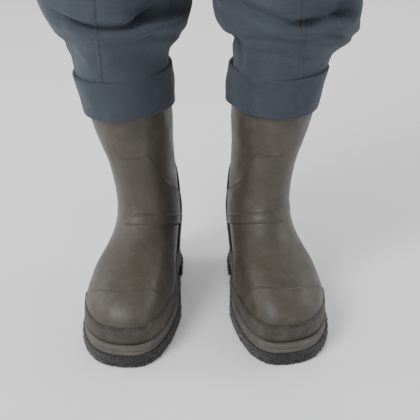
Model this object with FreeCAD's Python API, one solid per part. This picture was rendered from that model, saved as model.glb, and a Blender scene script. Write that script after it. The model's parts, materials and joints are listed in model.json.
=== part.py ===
"""Chest waders: two rubber boots with felt soles, neoprene legs and bib, braces, wading belt and pouch.

Row frame: +Z up, the wearer faces -Y, origin on the floor midway between the feet. Millimetres.
The wearer's left (+X) boot and leg are modelled, and the right ones are their mirror images.
"""

import FreeCAD, Part
import math
import os

from FreeCAD import Vector as V

# ---------------------------------------------------------------- driving dimensions
ANKLE_X = 72.8  # half the distance between the ankles
TOE_OUT = 8.0  # degrees that each foot turns outwards
LEAN = 0.15  # how far the shafts lean apart per millimetre of height
LEAN_START, LEAN_FULL = 110.0, 190.0  # heights between which the lean grows

FELT = 14.0  # felt pad thickness
MIDSOLE_TOP = 27.0
RAND_TOP, BUMPER_TOP = 42.0, 49.0
BOOT_TOP = 302.0
BOOT_OVER = 326.0  # the boot's form goes on up to here, and is trimmed at BOOT_TOP
RUBBER = 3.2  # wall of the moulded boot
TOE_CAP_T, STRIP_T, GUARD_T, SHIELD_T, BAND_T = 1.2, 2.2, 2.6, 0.9, 1.8  # rubber laid over the boot
TOE_CAP_Y, BUMPER_Y = -155.0, -98.0  # where the toe cap and the high toe bumper end, along the foot
MIDSOLE_OUT, FELT_OUT = 4.2, 7.2  # how far the two sole layers stand out from SOLE_ROW
FOREFOOT_END, HEEL_START = 14.0, 34.0  # the felt's two pads, along the foot
SHANK_Y, SHANK_HALF, SHANK_T = (-52.0, 46.0), 9.0, 2.0
INSOLE_T = 4.5
NEOPRENE = 4.0  # wall of the legs and bib
CUFF_LOW, CUFF_HIGH = 254.0, 303.0

CROTCH = 800.0
WAIST_LOW, WAIST_HIGH = 1000.0, 1064.0
BIB_FRONT, BIB_BACK = 1270.0, 1190.0  # heights of the top edge
TORSO_Y = 5.0  # the torso's middle lies this far behind the ankles
TORSO_HALF_DEPTH = 130.0
HEM = 1.6  # thickness of the binding on the top edge

WEB, WEB_T = 38.0, 2.4  # brace webbing
BELT, BELT_T = 50.0, 2.5  # belt webbing
PATCH_X, PATCH_Z, PATCH_T = (20.0, 190.0), (425.0, 565.0), 2.4  # knee patch
LEG_GAP = 0.5  # between the boot's shaft and the leg glued over it
PLAY = 0.2  # clearance between parts that only touch
FAR = 300.0  # past every piece in plan, for the blocks that pieces are trimmed with

POUCH_HALF, POUCH_FRONT, POUCH_BACK = 92.0, -140.0, -100.0
POUCH_Z, POUCH_ROUND = (1078.0, 1198.0), 14.0
ZIP_Z, TAPE_HALF, TEETH_HALF, SLIDER_X = 1182.0, 78.0, 74.0, -66.0
RING_Y, RING_Z, RING_R, RING_WIRE = -131.5, 1243.0, 15.0, 2.0  # the D ring's bar, bow and wire radius
TAB_HALF = 10.0  # half width of the ring's tab
KEEPERS = [(128, -FAR, 0), (-128, -FAR, 0), (105, 0, FAR), (-105, 0, FAR)]  # middle x, and y from and to
KEEPER_HALF, KEEPER_T, KEEPER_OVER = 9.0, 1.6, 10.0  # and how far a keeper reaches past the belt

# One row per section of the boot, from the sole's edge up to the shaft's top: front y and z, back y
# and z, half widths of the ball on the outer and inner side, half width of the heel, and how far the
# section has turned from a foot's outline (0) into a shaft's ellipse (1).
BOOT_ROWS = [
    (-181, 27, 93, 27, 58, 47, 32.5, 0.0),
    (-185, 37, 95, 40, 58.5, 47.5, 34, 0.0),
    (-184, 49, 96, 52, 58, 47.5, 35, 0.05),
    (-176, 62, 96, 62, 54.5, 46, 36, 0.1),
    (-157, 76, 95, 70, 50, 44, 36.5, 0.15),
    (-132, 88, 93, 78, 43.5, 43, 37.5, 0.25),
    (-104, 101, 90, 87, 37, 42, 38, 0.4),
    (-80, 116, 87, 98, 34, 41.5, 38.5, 0.6),
    (-64, 134, 82, 115, 34, 40.5, 38, 0.8),
    (-57, 156, 79, 142, 36.5, 38.5, 38.5, 0.95),
    (-57, 186, 79, 178, 40.5, 41, 41, 1.0),
    (-59, 220, 80, 216, 47, 46, 46, 1.0),
    (-62, 254, 82, 254, 50, 49.5, 49.5, 1.0),
    (-63, 290, 83, 290, 51.3, 51.3, 51.3, 1.0),
    (-64, BOOT_OVER, 84, BOOT_OVER, 52, 52, 52, 1.0),
]
SOLE_ROW = (-184, 0, 92, 0, 58, 47, 32, 0.0)  # outline that the midsole and the felt stand out from
# Side views of the overlays in the foot's own frame, y and z: the guard up the heel, and the band that
# rises over the instep and falls round the ankle.
GUARD_SIDE = [(16, RAND_TOP + 1), (120, RAND_TOP + 1), (120, 176), (74, 176), (44, 158), (26, 120)]
BAND_SIDE = [(-100, 117), (-100, 132), (-57, 131), (60, 84), (60, 70), (-57, 117)]
UNDER_BAND = [(-130, 60), (-130, 132), (-57, 131.2), (80, 76)]
BAND_REACH, BAND_END = 24.0, 15.8  # how far the band goes round the outer side, and back along the foot
TOE_SWING = 7.0  # how far the toe tip curves inwards
TOE_SQUARE, HEEL_SQUARE = 2.65, 3.5  # squareness of a foot section's two ends, 2 being an ellipse
BALL_OUT, BALL_IN = (-0.20, 0.45), (-0.50, 0.31)  # where the width grows from heel to ball, heel -1, toe +1
SECTION_POINTS = 36
FINE_STEPS = 180

# Leg sections, the first past the boot's top and the last past the crotch, where the leg is trimmed:
# z, middle x, middle y, half width, half depth, squareness.
LEG_ROWS = [
    (306, 96.2, 9.8, 55.5, 77.5, 2.0),
    (320, 97.8, 9, 58.5, 79, 2.0),
    (334, 99.2, 8, 70, 87, 2.0),
    (350, 101, 6, 82, 94, 2.0),
    (370, 102.5, 4.5, 88, 98, 2.05),
    (400, 103, 2.5, 89, 98, 2.1),
    (440, 103, 1, 88, 97, 2.1),
    (490, 102, -1, 88, 97, 2.15),
    (545, 101, -1.5, 89.5, 99.5, 2.2),
    (605, 100, 1, 92, 106, 2.3),
    (665, 100, 3.5, 94.5, 114, 2.4),
    (730, 100, 5, 96.5, 121.5, 2.55),
    (795, 100.6, TORSO_Y, 98.2, 129, 2.8),
    (860, 101, TORSO_Y, 98.6, 132, 2.9),
]
LEG_ON_BOOT = (236.0, 254.0, 272.0, 290.0)  # heights at which the leg follows the boot's shaft

# Torso sections: z, half width, half depth, squareness.
WAIST = (190, TORSO_HALF_DEPTH, 3.0)
TORSO_ROWS = [
    (CROTCH + PLAY, 201, 135, 4.0),
    (870, 203, 137, 3.6),
    (935, 197, 133, 3.2),
    (WAIST_LOW, *WAIST),
    (WAIST_HIGH, *WAIST),
    (1120, 192.5, TORSO_HALF_DEPTH, 3.0),
    (1185, 197, TORSO_HALF_DEPTH, 3.0),
    (1250, 202, TORSO_HALF_DEPTH, 3.0),
    (1315, 206, TORSO_HALF_DEPTH, 3.0),
]

# Brace line: straight up from the buckle, over the shoulder, and down to the yoke, in the brace's own
# upright plane, as distance from the front stretch and height.
BRACE_FOOT = V(102, -131.5, 0)
YOKE_X, YOKE_Y = 22.0, 120.0
BUCKLE_Z = 1274.0  # height of the buckle's zero level
STRETCH_TOP = 1412.0  # top of the stretch that goes slack when the buckle opens
BRACE_LINE = [(0, STRETCH_TOP + PLAY), (0, 1440), (56, 1494), (150, 1494), (228, 1400), (252, 1302)]
BRACE_BENDS = [55, 55, 65, 60]
BELT_Z = 1038.0
BELT_BUCKLE_X, BELT_BUCKLE_Y = 24.0, TORSO_Y - TORSO_HALF_DEPTH - 8.0
BELT_IN, BELT_OUT = 1.4, 1.4 + BELT_T  # the belt's two faces, outwards from the waist
BELT_STRETCH_X = 90.0  # where the straight front stretches of the belt meet its curved part

ORIGIN_Y = 24.1  # the row's origin lies this far in front of the ankles' middle, under the box's centre

PARTS = {}


# ---------------------------------------------------------------- shared helpers
def smooth(t):
    """0 below 0, 1 above 1 and an S-curve between."""
    t = max(0.0, min(1.0, t))
    return t * t * (3 - 2 * t)


def box(x0, x1, y0, y1, z0, z1):
    return Part.makeBox(x1 - x0, y1 - y0, z1 - z0, V(x0, y0, z0))


def prism(points, along):
    """A straight-sided solid: a closed outline of points pushed along a vector."""
    return Part.Face(Part.makePolygon(points + [points[0]])).extrude(along)


def closed_spline(points):
    curve = Part.BSplineCurve()
    curve.interpolate(Points=points, PeriodicFlag=True, Parameters=list(range(len(points) + 1)))
    return Part.Wire([curve.toShape()])


def loft(wires):
    solid = Part.makeLoft(wires, True, False)
    return solid if solid.Volume > 0 else solid.reversed()


def superellipse(cx, cy, a, b, n, z):
    """Points of a rounded outline, evenly spaced, from its middle front round by +X."""
    close = []
    for k in range(4 * FINE_STEPS + 1):
        t = 2 * math.pi * k / (4 * FINE_STEPS)
        c, s = math.cos(t), math.sin(t)
        x = cx + a * math.copysign(abs(s) ** (2 / n), s)
        y = cy - b * math.copysign(abs(c) ** (2 / n), c)
        close.append(V(x, y, z))
    return evenly(close, SECTION_POINTS)


def through(edge):
    """Whether an edge runs along Y."""
    return abs(edge.tangentAt(edge.FirstParameter).y) > 0.99


def any_edge(edge):
    return True


def rounded(solid, radius, keep=any_edge):
    """The solid with its chosen edges rounded, or the plain one if an edge can't be."""
    try:
        return solid.makeFillet(radius, [e for e in solid.Edges if keep(e)])
    except Part.OCCError:
        return solid


def mirrored(shape):
    return shape.mirror(V(0, 0, 0), V(1, 0, 0))


def add(name, shape):
    PARTS[name] = shape


def add_pair(name, shape):
    """The wearer's left piece, and its mirror image on the right."""
    add("left_" + name, shape)
    add("right_" + name, mirrored(shape))


def add_both(name, shape):
    """One node with the left piece and its mirror image in it, as separate solids."""
    add(name, Part.makeCompound(shape.Solids + mirrored(shape).Solids))


# ---------------------------------------------------------------- boots
def lean(z):
    """Sideways shift of the boot's middle line at a height."""
    rise = LEAN_FULL - LEAN_START
    if z <= LEAN_START:
        return 0.0
    if z <= LEAN_FULL:
        return LEAN * (z - LEAN_START) ** 2 / (2 * rise)
    return LEAN * (z - LEAN_START - rise / 2)


def boot_point(x, y, z):
    """From the foot's own frame, toes along -Y, to the row frame."""
    turn = math.radians(TOE_OUT)
    c, s = math.cos(turn), math.sin(turn)
    return V(ANKLE_X + x * c - y * s + lean(z), x * s + y * c, z)


def row_at(rows, z):
    """The boot row at height z of the shaft, where sections are level."""
    low, high = rows[-2], rows[-1]
    f = (z - low[1]) / (high[1] - low[1])
    return tuple(p + f * (q - p) for p, q in zip(low, high))


def profile_normals(points):
    """Unit normals, to the left of the way the points run, in the y-z plane."""
    out = []
    for k in range(len(points)):
        a, b = points[max(k - 1, 0)], points[min(k + 1, len(points) - 1)]
        ty, tz = b[0] - a[0], b[1] - a[1]
        size = math.hypot(ty, tz)
        out.append((-tz / size, ty / size))
    return out


def offset_rows(offset):
    """BOOT_ROWS moved outwards by offset, square to the boot's front and back lines."""
    fronts = [(r[0], r[1]) for r in BOOT_ROWS]
    backs = [(r[2], r[3]) for r in BOOT_ROWS]
    out = []
    for r, fn, bn in zip(BOOT_ROWS, profile_normals(fronts), profile_normals(backs)):
        level = r[1] == r[3]  # the sole's edge and the shaft stay level
        fz, bz = (r[1], r[3]) if level else (r[1] + offset * fn[1], r[3] - offset * bn[1])
        out.append(
            (r[0] + offset * fn[0], fz, r[2] - offset * bn[0], bz)
            + tuple(w + offset for w in r[4:7])
            + (r[7],)
        )
    return out


def half_section(row, way):
    """Close points of one section from the toe to the heel, by the outer (+1) or the inner (-1) side."""
    fy, fz, by, bz, ball_out, ball_in, heel, shaft = row
    ball = ball_out if way > 0 else ball_in
    start, full = BALL_OUT if way > 0 else BALL_IN
    points = []
    for k in range(FINE_STEPS + 1):
        t = math.pi * k / FINE_STEPS
        foot = TOE_SQUARE if k <= FINE_STEPS / 2 else HEEL_SQUARE
        power = 2 / (foot + (2 - foot) * shaft)
        s = math.copysign(abs(math.cos(t)) ** power, math.cos(t))
        across = way * abs(math.sin(t)) ** power
        width = heel + (ball - heel) * smooth((s - start) / (full - start))
        x = across * width - (1 - shaft) * TOE_SWING * max(s, 0) ** 2
        points.append(boot_point(x, (fy + by) / 2 + s * (fy - by) / 2, (fz + bz) / 2 + s * (fz - bz) / 2))
    return points


def evenly(points, count):
    """count points evenly spaced along a line of close points, from its start to just before its end."""
    marks = [0.0]
    for a, b in zip(points, points[1:]):
        marks.append(marks[-1] + a.distanceToPoint(b))
    out, k = [], 0
    for step in range(count):
        goal = marks[-1] * step / count
        while marks[k + 1] < goal:
            k += 1
        out.append(points[k] + (points[k + 1] - points[k]) * ((goal - marks[k]) / (marks[k + 1] - marks[k])))
    return out


def boot_section(row):
    """Closed points of one section, starting at the toe and going round by the outer side."""
    outer, inner = half_section(row, 1), half_section(row, -1)
    return evenly(outer, SECTION_POINTS // 2) + evenly(inner[::-1], SECTION_POINTS // 2)


def boot_body(offset):
    """The boot's whole form moved outwards by offset, as one solid that runs up past the boot's top."""
    return loft([closed_spline(boot_section(r)) for r in offset_rows(offset)])


def boot_tube(rows, heights):
    """A solid through the boot's sections at the given heights."""
    return loft([closed_spline(boot_section(row_at(rows, z))) for z in heights])


def sole_slab(offset, z0, z1):
    """A level slab whose outline stands out from SOLE_ROW by offset."""
    fy, _, by, _, *widths, shaft = SOLE_ROW
    row = (fy - offset, z0, by + offset, z0) + tuple(w + offset for w in widths) + (shaft,)
    return Part.Face(closed_spline(boot_section(row))).extrude(V(0, 0, z1 - z0))


def foot_block(y0, y1, z0, z1, half=120):
    """A block in the foot's own frame, turned with the foot."""
    block = box(-half, half, y0, y1, z0, z1)
    block.rotate(V(0, 0, 0), V(0, 0, 1), TOE_OUT)
    block.translate(V(ANKLE_X, 0, 0))
    return block


def side_region(points, x0=-120, x1=120):
    """A region drawn as a side view, points of y and z, right across the boot or part of it."""
    region = prism([V(x0, y, z) for y, z in points], V(x1 - x0, 0, 0))
    region.rotate(V(0, 0, 0), V(0, 0, 1), TOE_OUT)
    region.translate(V(ANKLE_X, 0, 0))
    return region


def arch_top(y):
    """Height of the ankle shield's upper edge: high over the shin and low at the back."""
    return 134 + 63 * smooth((28 - y) / 72)


def make_boot():
    outside = boot_body(0)
    hollow = boot_body(-RUBBER).cut(box(-FAR, FAR, -FAR, FAR, 0, MIDSOLE_TOP + RUBBER))
    upper = outside.cut(hollow).cut(box(-FAR, FAR, -FAR, FAR, BOOT_TOP, BOOT_OVER + 1))
    add_pair("boot_upper", upper)

    toe_cap = boot_body(TOE_CAP_T).common(foot_block(-FAR, TOE_CAP_Y, BUMPER_TOP, 120)).cut(outside)
    add_both("toe_caps", toe_cap)

    rubber_strip = boot_body(STRIP_T)
    bumper = rubber_strip.common(foot_block(-FAR, BUMPER_Y, MIDSOLE_TOP, BUMPER_TOP)).cut(outside)
    rand = rubber_strip.common(foot_block(BUMPER_Y, FAR, MIDSOLE_TOP, RAND_TOP)).cut(outside)
    add_pair("rand", Part.makeCompound([bumper, rand]))

    guard = boot_body(GUARD_T).common(side_region(GUARD_SIDE)).cut(outside)
    add_pair("heel_guard", guard)

    shield_side = [(-90, 131), (-90, arch_top(-90))]
    shield_side += [(y, arch_top(y)) for y in range(-50, 31, 8)]
    shield_side += [(31, 122)]
    shield = boot_body(SHIELD_T).common(side_region(shield_side)).cut(outside)
    below_band = prism([V(-FAR, y, z) for y, z in UNDER_BAND], V(2 * FAR, 0, 0))
    behind_guard = side_region([(16, 40), (120, 40), (120, 240), (16, 240)])
    shield = shield.cut(below_band).cut(boot_body(GUARD_T + 0.4).common(behind_guard))
    add_pair("ankle_shield", shield)

    band = boot_body(BAND_T).common(side_region(BAND_SIDE, x1=BAND_REACH)).cut(outside)
    band = band.cut(foot_block(BAND_END, FAR, 40, 240))
    add_pair("ankle_band", band)


def make_sole():
    midsole = sole_slab(MIDSOLE_OUT, FELT, MIDSOLE_TOP)
    front, back = SHANK_Y
    low, high = FELT + 5, FELT + 5 + SHANK_T
    add_pair("midsole", midsole.cut(foot_block(front, back, low, high, half=SHANK_HALF)))
    shank = foot_block(front + PLAY, back - PLAY, low + PLAY, high - PLAY, half=SHANK_HALF - PLAY)
    add_both("steel_shanks", shank)

    felt = sole_slab(FELT_OUT, 0, FELT)
    forefoot = felt.common(foot_block(-FAR, FOREFOOT_END, -1, FELT + 1))
    heel = felt.common(foot_block(HEEL_START, FAR, -1, FELT + 1))
    add_pair("felt_sole", Part.makeCompound([forefoot, heel]))

    floor = MIDSOLE_TOP + RUBBER
    add_both("insoles", sole_slab(-RUBBER - 4, floor + PLAY, floor + INSOLE_T))


# ---------------------------------------------------------------- legs
def leg_wires(offset):
    rows = offset_rows(offset)
    wires = []
    for z in LEG_ON_BOOT:
        wires.append(closed_spline(boot_section(row_at(rows, z))))
    for z, cx, cy, a, b, n in LEG_ROWS:
        grow = offset - NEOPRENE
        wires.append(closed_spline(superellipse(cx, cy, a + grow, b + grow, n, z)))
    return wires


def make_leg():
    outer = loft(leg_wires(NEOPRENE + LEG_GAP))
    inner = loft(leg_wires(LEG_GAP))
    cap = box(-FAR, FAR, -FAR, FAR, CROTCH, CROTCH + 70)
    floor = box(-FAR, FAR, -FAR, FAR, 200, CUFF_LOW + 5)
    leg = outer.cut(inner).cut(cap).cut(floor)
    add_pair("leg", leg)

    rows_out, rows_in = offset_rows(NEOPRENE + LEG_GAP + 3.0), offset_rows(NEOPRENE + LEG_GAP + PLAY)
    low_in = offset_rows(PLAY)
    heights = (CUFF_LOW, CUFF_HIGH)
    band = boot_tube(rows_out, heights)
    band = band.cut(boot_tube(rows_in, (CUFF_LOW + 4.8, CUFF_HIGH + 3)))
    band = band.cut(boot_tube(low_in, (CUFF_LOW - 3, CUFF_LOW + 4.8)))
    add_pair("cuff", band)

    window = rounded(box(*PATCH_X, -200, -62, *PATCH_Z), 22, through)
    patch = loft(leg_wires(NEOPRENE + LEG_GAP + PATCH_T)).common(window)
    add_both("knee_patches", patch.cut(outer))


# ---------------------------------------------------------------- torso
def torso_wire(z, a, b, square, offset):
    return closed_spline(superellipse(0, TORSO_Y, a + offset, b + offset, square, z))


def torso_body(offset):
    return loft([torso_wire(z, a, b, square, offset) for z, a, b, square in TORSO_ROWS])


def top_edge(y, lift=0.0):
    """Height of the bib's top edge at a depth: high in front, scooped down under the arms."""
    return BIB_BACK + lift + (BIB_FRONT - BIB_BACK) * smooth((30 - y) / 95)


def above_edge(lift):
    """Everything above the bib's top edge, moved up by lift."""
    curve = Part.BSplineCurve()
    curve.interpolate([V(-300, y, top_edge(y, lift)) for y in range(-200, 201, 20)])
    ends = [V(-300, -200, top_edge(-200, lift)), V(-300, 200, top_edge(200, lift))]
    rim = [V(-300, 200, 1400), V(-300, -200, 1400)]
    edges = [curve.toShape()]
    edges += [Part.makeLine(a, b) for a, b in ((ends[1], rim[0]), (rim[0], rim[1]), (rim[1], ends[0]))]
    return Part.Face(Part.Wire(edges)).extrude(V(600, 0, 0))


def make_torso():
    outer, inner = torso_body(0), torso_body(-NEOPRENE)
    shell = outer.cut(inner)
    below = shell.cut(above_edge(0))
    front_half = box(-400, 400, -400, TORSO_Y - PLAY / 2, 700, 1400)
    back_half = box(-400, 400, TORSO_Y + PLAY / 2, 400, 700, 1400)
    add("bib_front", below.common(front_half))
    add("bib_back", below.common(back_half))

    hem = torso_body(HEM).cut(torso_body(-NEOPRENE - HEM))
    hem = hem.cut(above_edge(HEM)).common(above_edge(-12))
    hem = hem.cut(below)
    add("top_hem", hem)

    legs = loft(leg_wires(NEOPRENE + LEG_GAP + PLAY))
    base = TORSO_ROWS[0]
    gusset = Part.Face(torso_wire(CROTCH - NEOPRENE, *base[1:], 0)).extrude(V(0, 0, NEOPRENE))
    gusset = gusset.common(box(-90, 90, -300, 300, 700, 900))
    add("crotch_gusset", gusset.cut(legs).cut(mirrored(legs)))


def make_pouch():
    front = POUCH_FRONT
    pouch = box(-POUCH_HALF, POUCH_HALF, front, POUCH_BACK, *POUCH_Z)
    pouch = rounded(pouch, POUCH_ROUND, through)
    add("chest_pouch", pouch.cut(torso_body(PLAY)))

    tape = box(-TAPE_HALF, TAPE_HALF, front - 0.9, front - 0.1, ZIP_Z - 9, ZIP_Z + 9)
    teeth = box(-TEETH_HALF, TEETH_HALF, front - 3.0, front - 0.9, ZIP_Z - 2, ZIP_Z + 2)
    add("zip", Part.makeCompound([tape, teeth]))
    shell = box(-5.5, 5.5, front - 5.2, front - 1.1, ZIP_Z - 5.5, ZIP_Z + 5.5)
    tunnel = box(-9, 9, front - 3.2, front - 0.5, ZIP_Z - 2.2, ZIP_Z + 2.2)
    post = box(-1.6, 1.6, front - 7.2, front - 5.2, ZIP_Z - 4.2, ZIP_Z + 4.2)
    pin = Part.makeCylinder(0.9, 8.4, V(0, front - 7.2, ZIP_Z - 4.2), V(0, 0, 1))
    eye = box(-1.6, 1.6, front - 8.4, front - 5.1, ZIP_Z - 2.6, ZIP_Z + 2.6)
    slider = rounded(shell, 1.2, through).cut(tunnel)
    slider = slider.fuse(post.cut(eye)).fuse(pin)
    slider.translate(V(SLIDER_X, 0, 0))
    add("zip_slider", slider)

    ring_out = Part.makeCylinder(1.9, 4.4, V(0, front - 7.2, ZIP_Z - 2.2), V(0, 0, 1))
    bore = Part.makeCylinder(0.98, 6, V(0, front - 7.2, ZIP_Z - 3), V(0, 0, 1))
    tab = box(-21, -1.2, front - 8.1, front - 6.3, ZIP_Z - 2.2, ZIP_Z + 2.2)
    grip = box(-24, -9, front - 8.1, front - 6.3, ZIP_Z - 4.5, ZIP_Z + 4.5)
    grip = rounded(grip, 2.4, through)
    hole = Part.makeCylinder(1.6, 10, V(-20, front - 12, ZIP_Z), V(0, 1, 0))
    pull = ring_out.fuse(tab).fuse(grip).cut(bore).cut(hole)
    pull.translate(V(SLIDER_X, 0, 0))
    add("zip_pull", pull)


def make_d_ring():
    bar = Part.makeCylinder(RING_WIRE, 2 * RING_R, V(-RING_R, RING_Y, RING_Z), V(1, 0, 0))
    bow = Part.makeTorus(RING_R, RING_WIRE, V(0, RING_Y, RING_Z), V(0, 1, 0), 0, 360)
    bow = bow.common(box(-2 * RING_R, 2 * RING_R, -FAR, 0, RING_Z - 40, RING_Z))
    add("d_ring", bar.fuse(bow))
    sleeve = Part.makeCylinder(RING_WIRE + 1.9, 2 * TAB_HALF, V(-TAB_HALF, RING_Y, RING_Z), V(1, 0, 0))
    plate = box(-TAB_HALF, TAB_HALF, RING_Y + 3.7, RING_Y + 5.9, RING_Z, RING_Z + 13)
    neck = box(-TAB_HALF, TAB_HALF, RING_Y, RING_Y + 5.5, RING_Z, RING_Z + 3.9)
    bore = Part.makeCylinder(RING_WIRE + 0.15, 24, V(-12, RING_Y, RING_Z), V(1, 0, 0))
    add("d_ring_tab", sleeve.fuse(neck).fuse(plate).cut(bore))


# ---------------------------------------------------------------- buckles
def long_and_level(edge):
    """Whether an edge is one of a buckle body's long outer ones."""
    return abs(edge.tangentAt(edge.FirstParameter).y) < 0.5 and edge.Length > 30


def buckle_parts(web):
    """A side-release buckle in its own frame: X across, Y through, Z the way the plug leaves."""
    half, slot, thick = web / 2 + 6.5, web / 2 + 0.6, 6.0
    inner = half - 5.5
    mouth, low, window = 38.0, 7.0, (9.0, 21.5)
    body = rounded(box(-half, half, -thick, thick, -11, mouth), 5, through)
    body = rounded(body, 1.6, long_and_level)
    body = body.cut(box(-inner, inner, -3.8, 3.8, low, mouth + 1))
    body = body.cut(box(-half - 1, half + 1, -3.8, 3.8, *window))
    body = body.cut(box(-slot, slot, -thick - 1, thick + 1, -6, 0))

    top = 61.0
    plug = rounded(box(-half, half, -thick, thick, mouth + PLAY, top), 5, through)
    plug = plug.cut(box(-slot, slot, -thick - 1, thick + 1, 47, 54))
    plug = plug.cut(box(-slot, slot, -thick - 1, -3.0, 53, top + 1))
    plug = plug.cut(box(-slot, slot, 3.0, thick + 1, 53, top + 1))
    pivot_x, pivot_z, root = inner - 6.5, mouth + 3.6, 2.0
    tongue = rounded(box(-4, 4, -3.2, 3.2, 13, mouth + 2), 2, through)
    plug = plug.fuse(tongue)
    arms = []
    for side in (-1, 1):
        x = side * pivot_x
        seat = Part.makeCylinder(root + 0.12, 8, V(x, -4, pivot_z), V(0, 1, 0))
        way = box(x - root - 0.12, x + root + 0.12, -4, 4, mouth - 1, pivot_z)
        plug = plug.cut(seat).cut(way)
        hinge = Part.makeCylinder(root, 6.8, V(x, -3.4, pivot_z), V(0, 1, 0))
        x0, x1 = sorted((x - side * 1.6, x + side * 1.6))
        beam = box(x0, x1, -3.4, 3.4, 12, pivot_z)
        near, far, reach = x - side * 1.6, x + side * 1.6, side * (half - 1.2)
        barb = [(near, 11), (far, 10.2), (reach, 12.5), (reach, 19.5), (far, 20.5)]
        tip = prism([V(px, -3.4, pz) for px, pz in barb], V(0, 6.8, 0))
        arms.append(hinge.fuse(beam).fuse(tip).removeSplitter())
    return body, plug, arms, (pivot_x, pivot_z)


def web_loop(web, z0, z1, gap=3.2, thick=WEB_T):
    """Webbing folded round a bar: a flat ring open sideways, with its stitched end closed."""
    y = gap + thick
    return box(-web / 2, web / 2, -y, y, z0, z1).cut(box(-web, web, -gap, gap, z0 + thick, z1 - 4))


def ribbon(points, bends, width, thick):
    """Flat webbing that follows straight runs and tangent arcs in the y-z plane, centred on x = 0."""
    def side(d):
        return V(0, -d.z, d.y) * (thick / 2)

    left, right = [], []
    runs = [V(0, y, z) for y, z in points]
    start = (runs[1] - runs[0]).normalize()
    end = (runs[-1] - runs[-2]).normalize()
    left_at, right_at = runs[0] + side(start), runs[0] - side(start)
    for k, bend in enumerate(bends, 1):
        a = (runs[k] - runs[k - 1]).normalize()
        b = (runs[k + 1] - runs[k]).normalize()
        turn = a.getAngle(b)
        reach = bend * math.tan(turn / 2)
        p, q = runs[k] - a * reach, runs[k] + b * reach
        outer = (b - a).normalize()
        centre = p + (side(a) * (1 if outer.dot(side(a)) > 0 else -1)).normalize() * bend
        middle = centre - outer * bend
        for edges, sign, at in ((left, 1, left_at), (right, -1, right_at)):
            p1, q1 = p + side(a) * sign, q + side(b) * sign
            inwards = 1 if outer.dot(side(a)) > 0 else -1
            m1 = middle + (centre - middle).normalize() * (thick / 2) * sign * inwards
            edges.append(Part.makeLine(at, p1))
            edges.append(Part.Arc(p1, m1, q1).toShape())
        left_at, right_at = q + side(b), q - side(b)
    left.append(Part.makeLine(left_at, runs[-1] + side(end)))
    right.append(Part.makeLine(right_at, runs[-1] - side(end)))
    ends = [Part.makeLine(runs[0] + side(start), runs[0] - side(start))]
    ends.append(Part.makeLine(runs[-1] + side(end), runs[-1] - side(end)))
    outline = Part.Wire(Part.__sortEdges__(left + right + ends))
    solid = Part.Face(outline).extrude(V(width, 0, 0))
    solid.translate(V(-width / 2, 0, 0))
    return solid


# ---------------------------------------------------------------- braces
def brace_place(shape):
    """From the brace's own upright plane to the row frame."""
    turn = math.degrees(math.atan2(BRACE_FOOT.x - YOKE_X, YOKE_Y - BRACE_FOOT.y))
    shape = shape.copy()
    shape.rotate(V(0, 0, 0), V(0, 0, 1), turn)
    shape.translate(BRACE_FOOT)
    return shape


def lifted(shape, z=BUCKLE_Z):
    shape = shape.copy()
    shape.translate(V(0, 0, z))
    return shape


def make_braces():
    body, plug, arms, _ = buckle_parts(WEB)
    add_pair("buckle_socket", brace_place(lifted(body)))
    add_pair("buckle_plug", brace_place(lifted(plug)))
    add_pair("latch_arm_inner", brace_place(lifted(arms[0])))
    add_pair("latch_arm_outer", brace_place(lifted(arms[1])))
    add_pair("brace_loop", brace_place(lifted(web_loop(WEB, 51, 70))))

    tab = box(-WEB / 2, WEB / 2, 4.4, 6.4, -66, -12).fuse(
        box(-WEB / 2, WEB / 2, -8.4, 6.4, -13.8, -11.8)
    )
    tab = tab.fuse(box(-WEB / 2, WEB / 2, -8.4, -6.4, -13.8, -2.4)).fuse(
        box(-WEB / 2, WEB / 2, -8.4, 6.4, -4.4, -2.4)
    )
    add_both("brace_tabs", brace_place(lifted(tab)))

    low = BUCKLE_Z + 70 + PLAY
    add_pair("brace_stretch", brace_place(box(-WEB / 2, WEB / 2, -WEB_T / 2, WEB_T / 2, low, STRETCH_TOP)))
    add_pair("brace", brace_place(ribbon(BRACE_LINE, BRACE_BENDS, WEB, WEB_T)))

    z0, high = 1376.0, 18.0
    rail = WEB / 2 + 0.5
    frame = box(-rail - 3.5, rail + 3.5, -4.4, 4.4, z0, z0 + high)
    frame = rounded(frame, 3, through)
    frame = frame.cut(box(-rail, rail, -5, 5, z0 + 4, z0 + high - 4))
    frame = frame.cut(box(-rail, rail, -WEB_T / 2 - 0.4, 5, z0 - 1, z0 + high + 1))
    frame = frame.fuse(box(-rail - 1, rail + 1, WEB_T / 2 + 0.4, 4.4, z0 + 8, z0 + 12))
    add_pair("brace_slider", brace_place(frame))

    yoke = prism([V(-46, 124, 1338), V(46, 124, 1338), V(24, 124, 1268), V(-24, 124, 1268)], V(0, 3.5, 0))
    yoke = rounded(yoke, 8, through)
    add("brace_yoke", yoke)
    back_y = TORSO_Y + TORSO_HALF_DEPTH + HEM
    line = [(127.8 + WEB_T / 2, 1292), (127.8 + WEB_T / 2, 1262), (back_y + 2.2, 1212), (back_y + 2.2, 1150)]
    add("back_brace", ribbon(line, [40, 40], WEB, WEB_T))


# ---------------------------------------------------------------- belt
def waist_wire(offset, z):
    return torso_wire(z, *WAIST, offset)


def waist_ring(inner, outer, z0, z1):
    ring = Part.Face(waist_wire(outer, z0)).extrude(V(0, 0, z1 - z0))
    return ring.cut(Part.Face(waist_wire(inner, z0 - 1)).extrude(V(0, 0, z1 - z0 + 2)))


def waist_y(x, offset):
    """Front surface of the waist at x, moved outwards by offset."""
    a, b, n = WAIST[0] + offset, WAIST[1] + offset, WAIST[2]
    return TORSO_Y - b * (1 - (abs(x) / a) ** n) ** (1 / n)


def belt_place(shape):
    """From the buckle's own frame to the row frame: the plug leaves along -X."""
    shape = shape.copy()
    shape.rotate(V(0, 0, 0), V(0, 1, 0), -90)
    shape.translate(V(BELT_BUCKLE_X, BELT_BUCKLE_Y, BELT_Z))
    return shape


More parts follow.
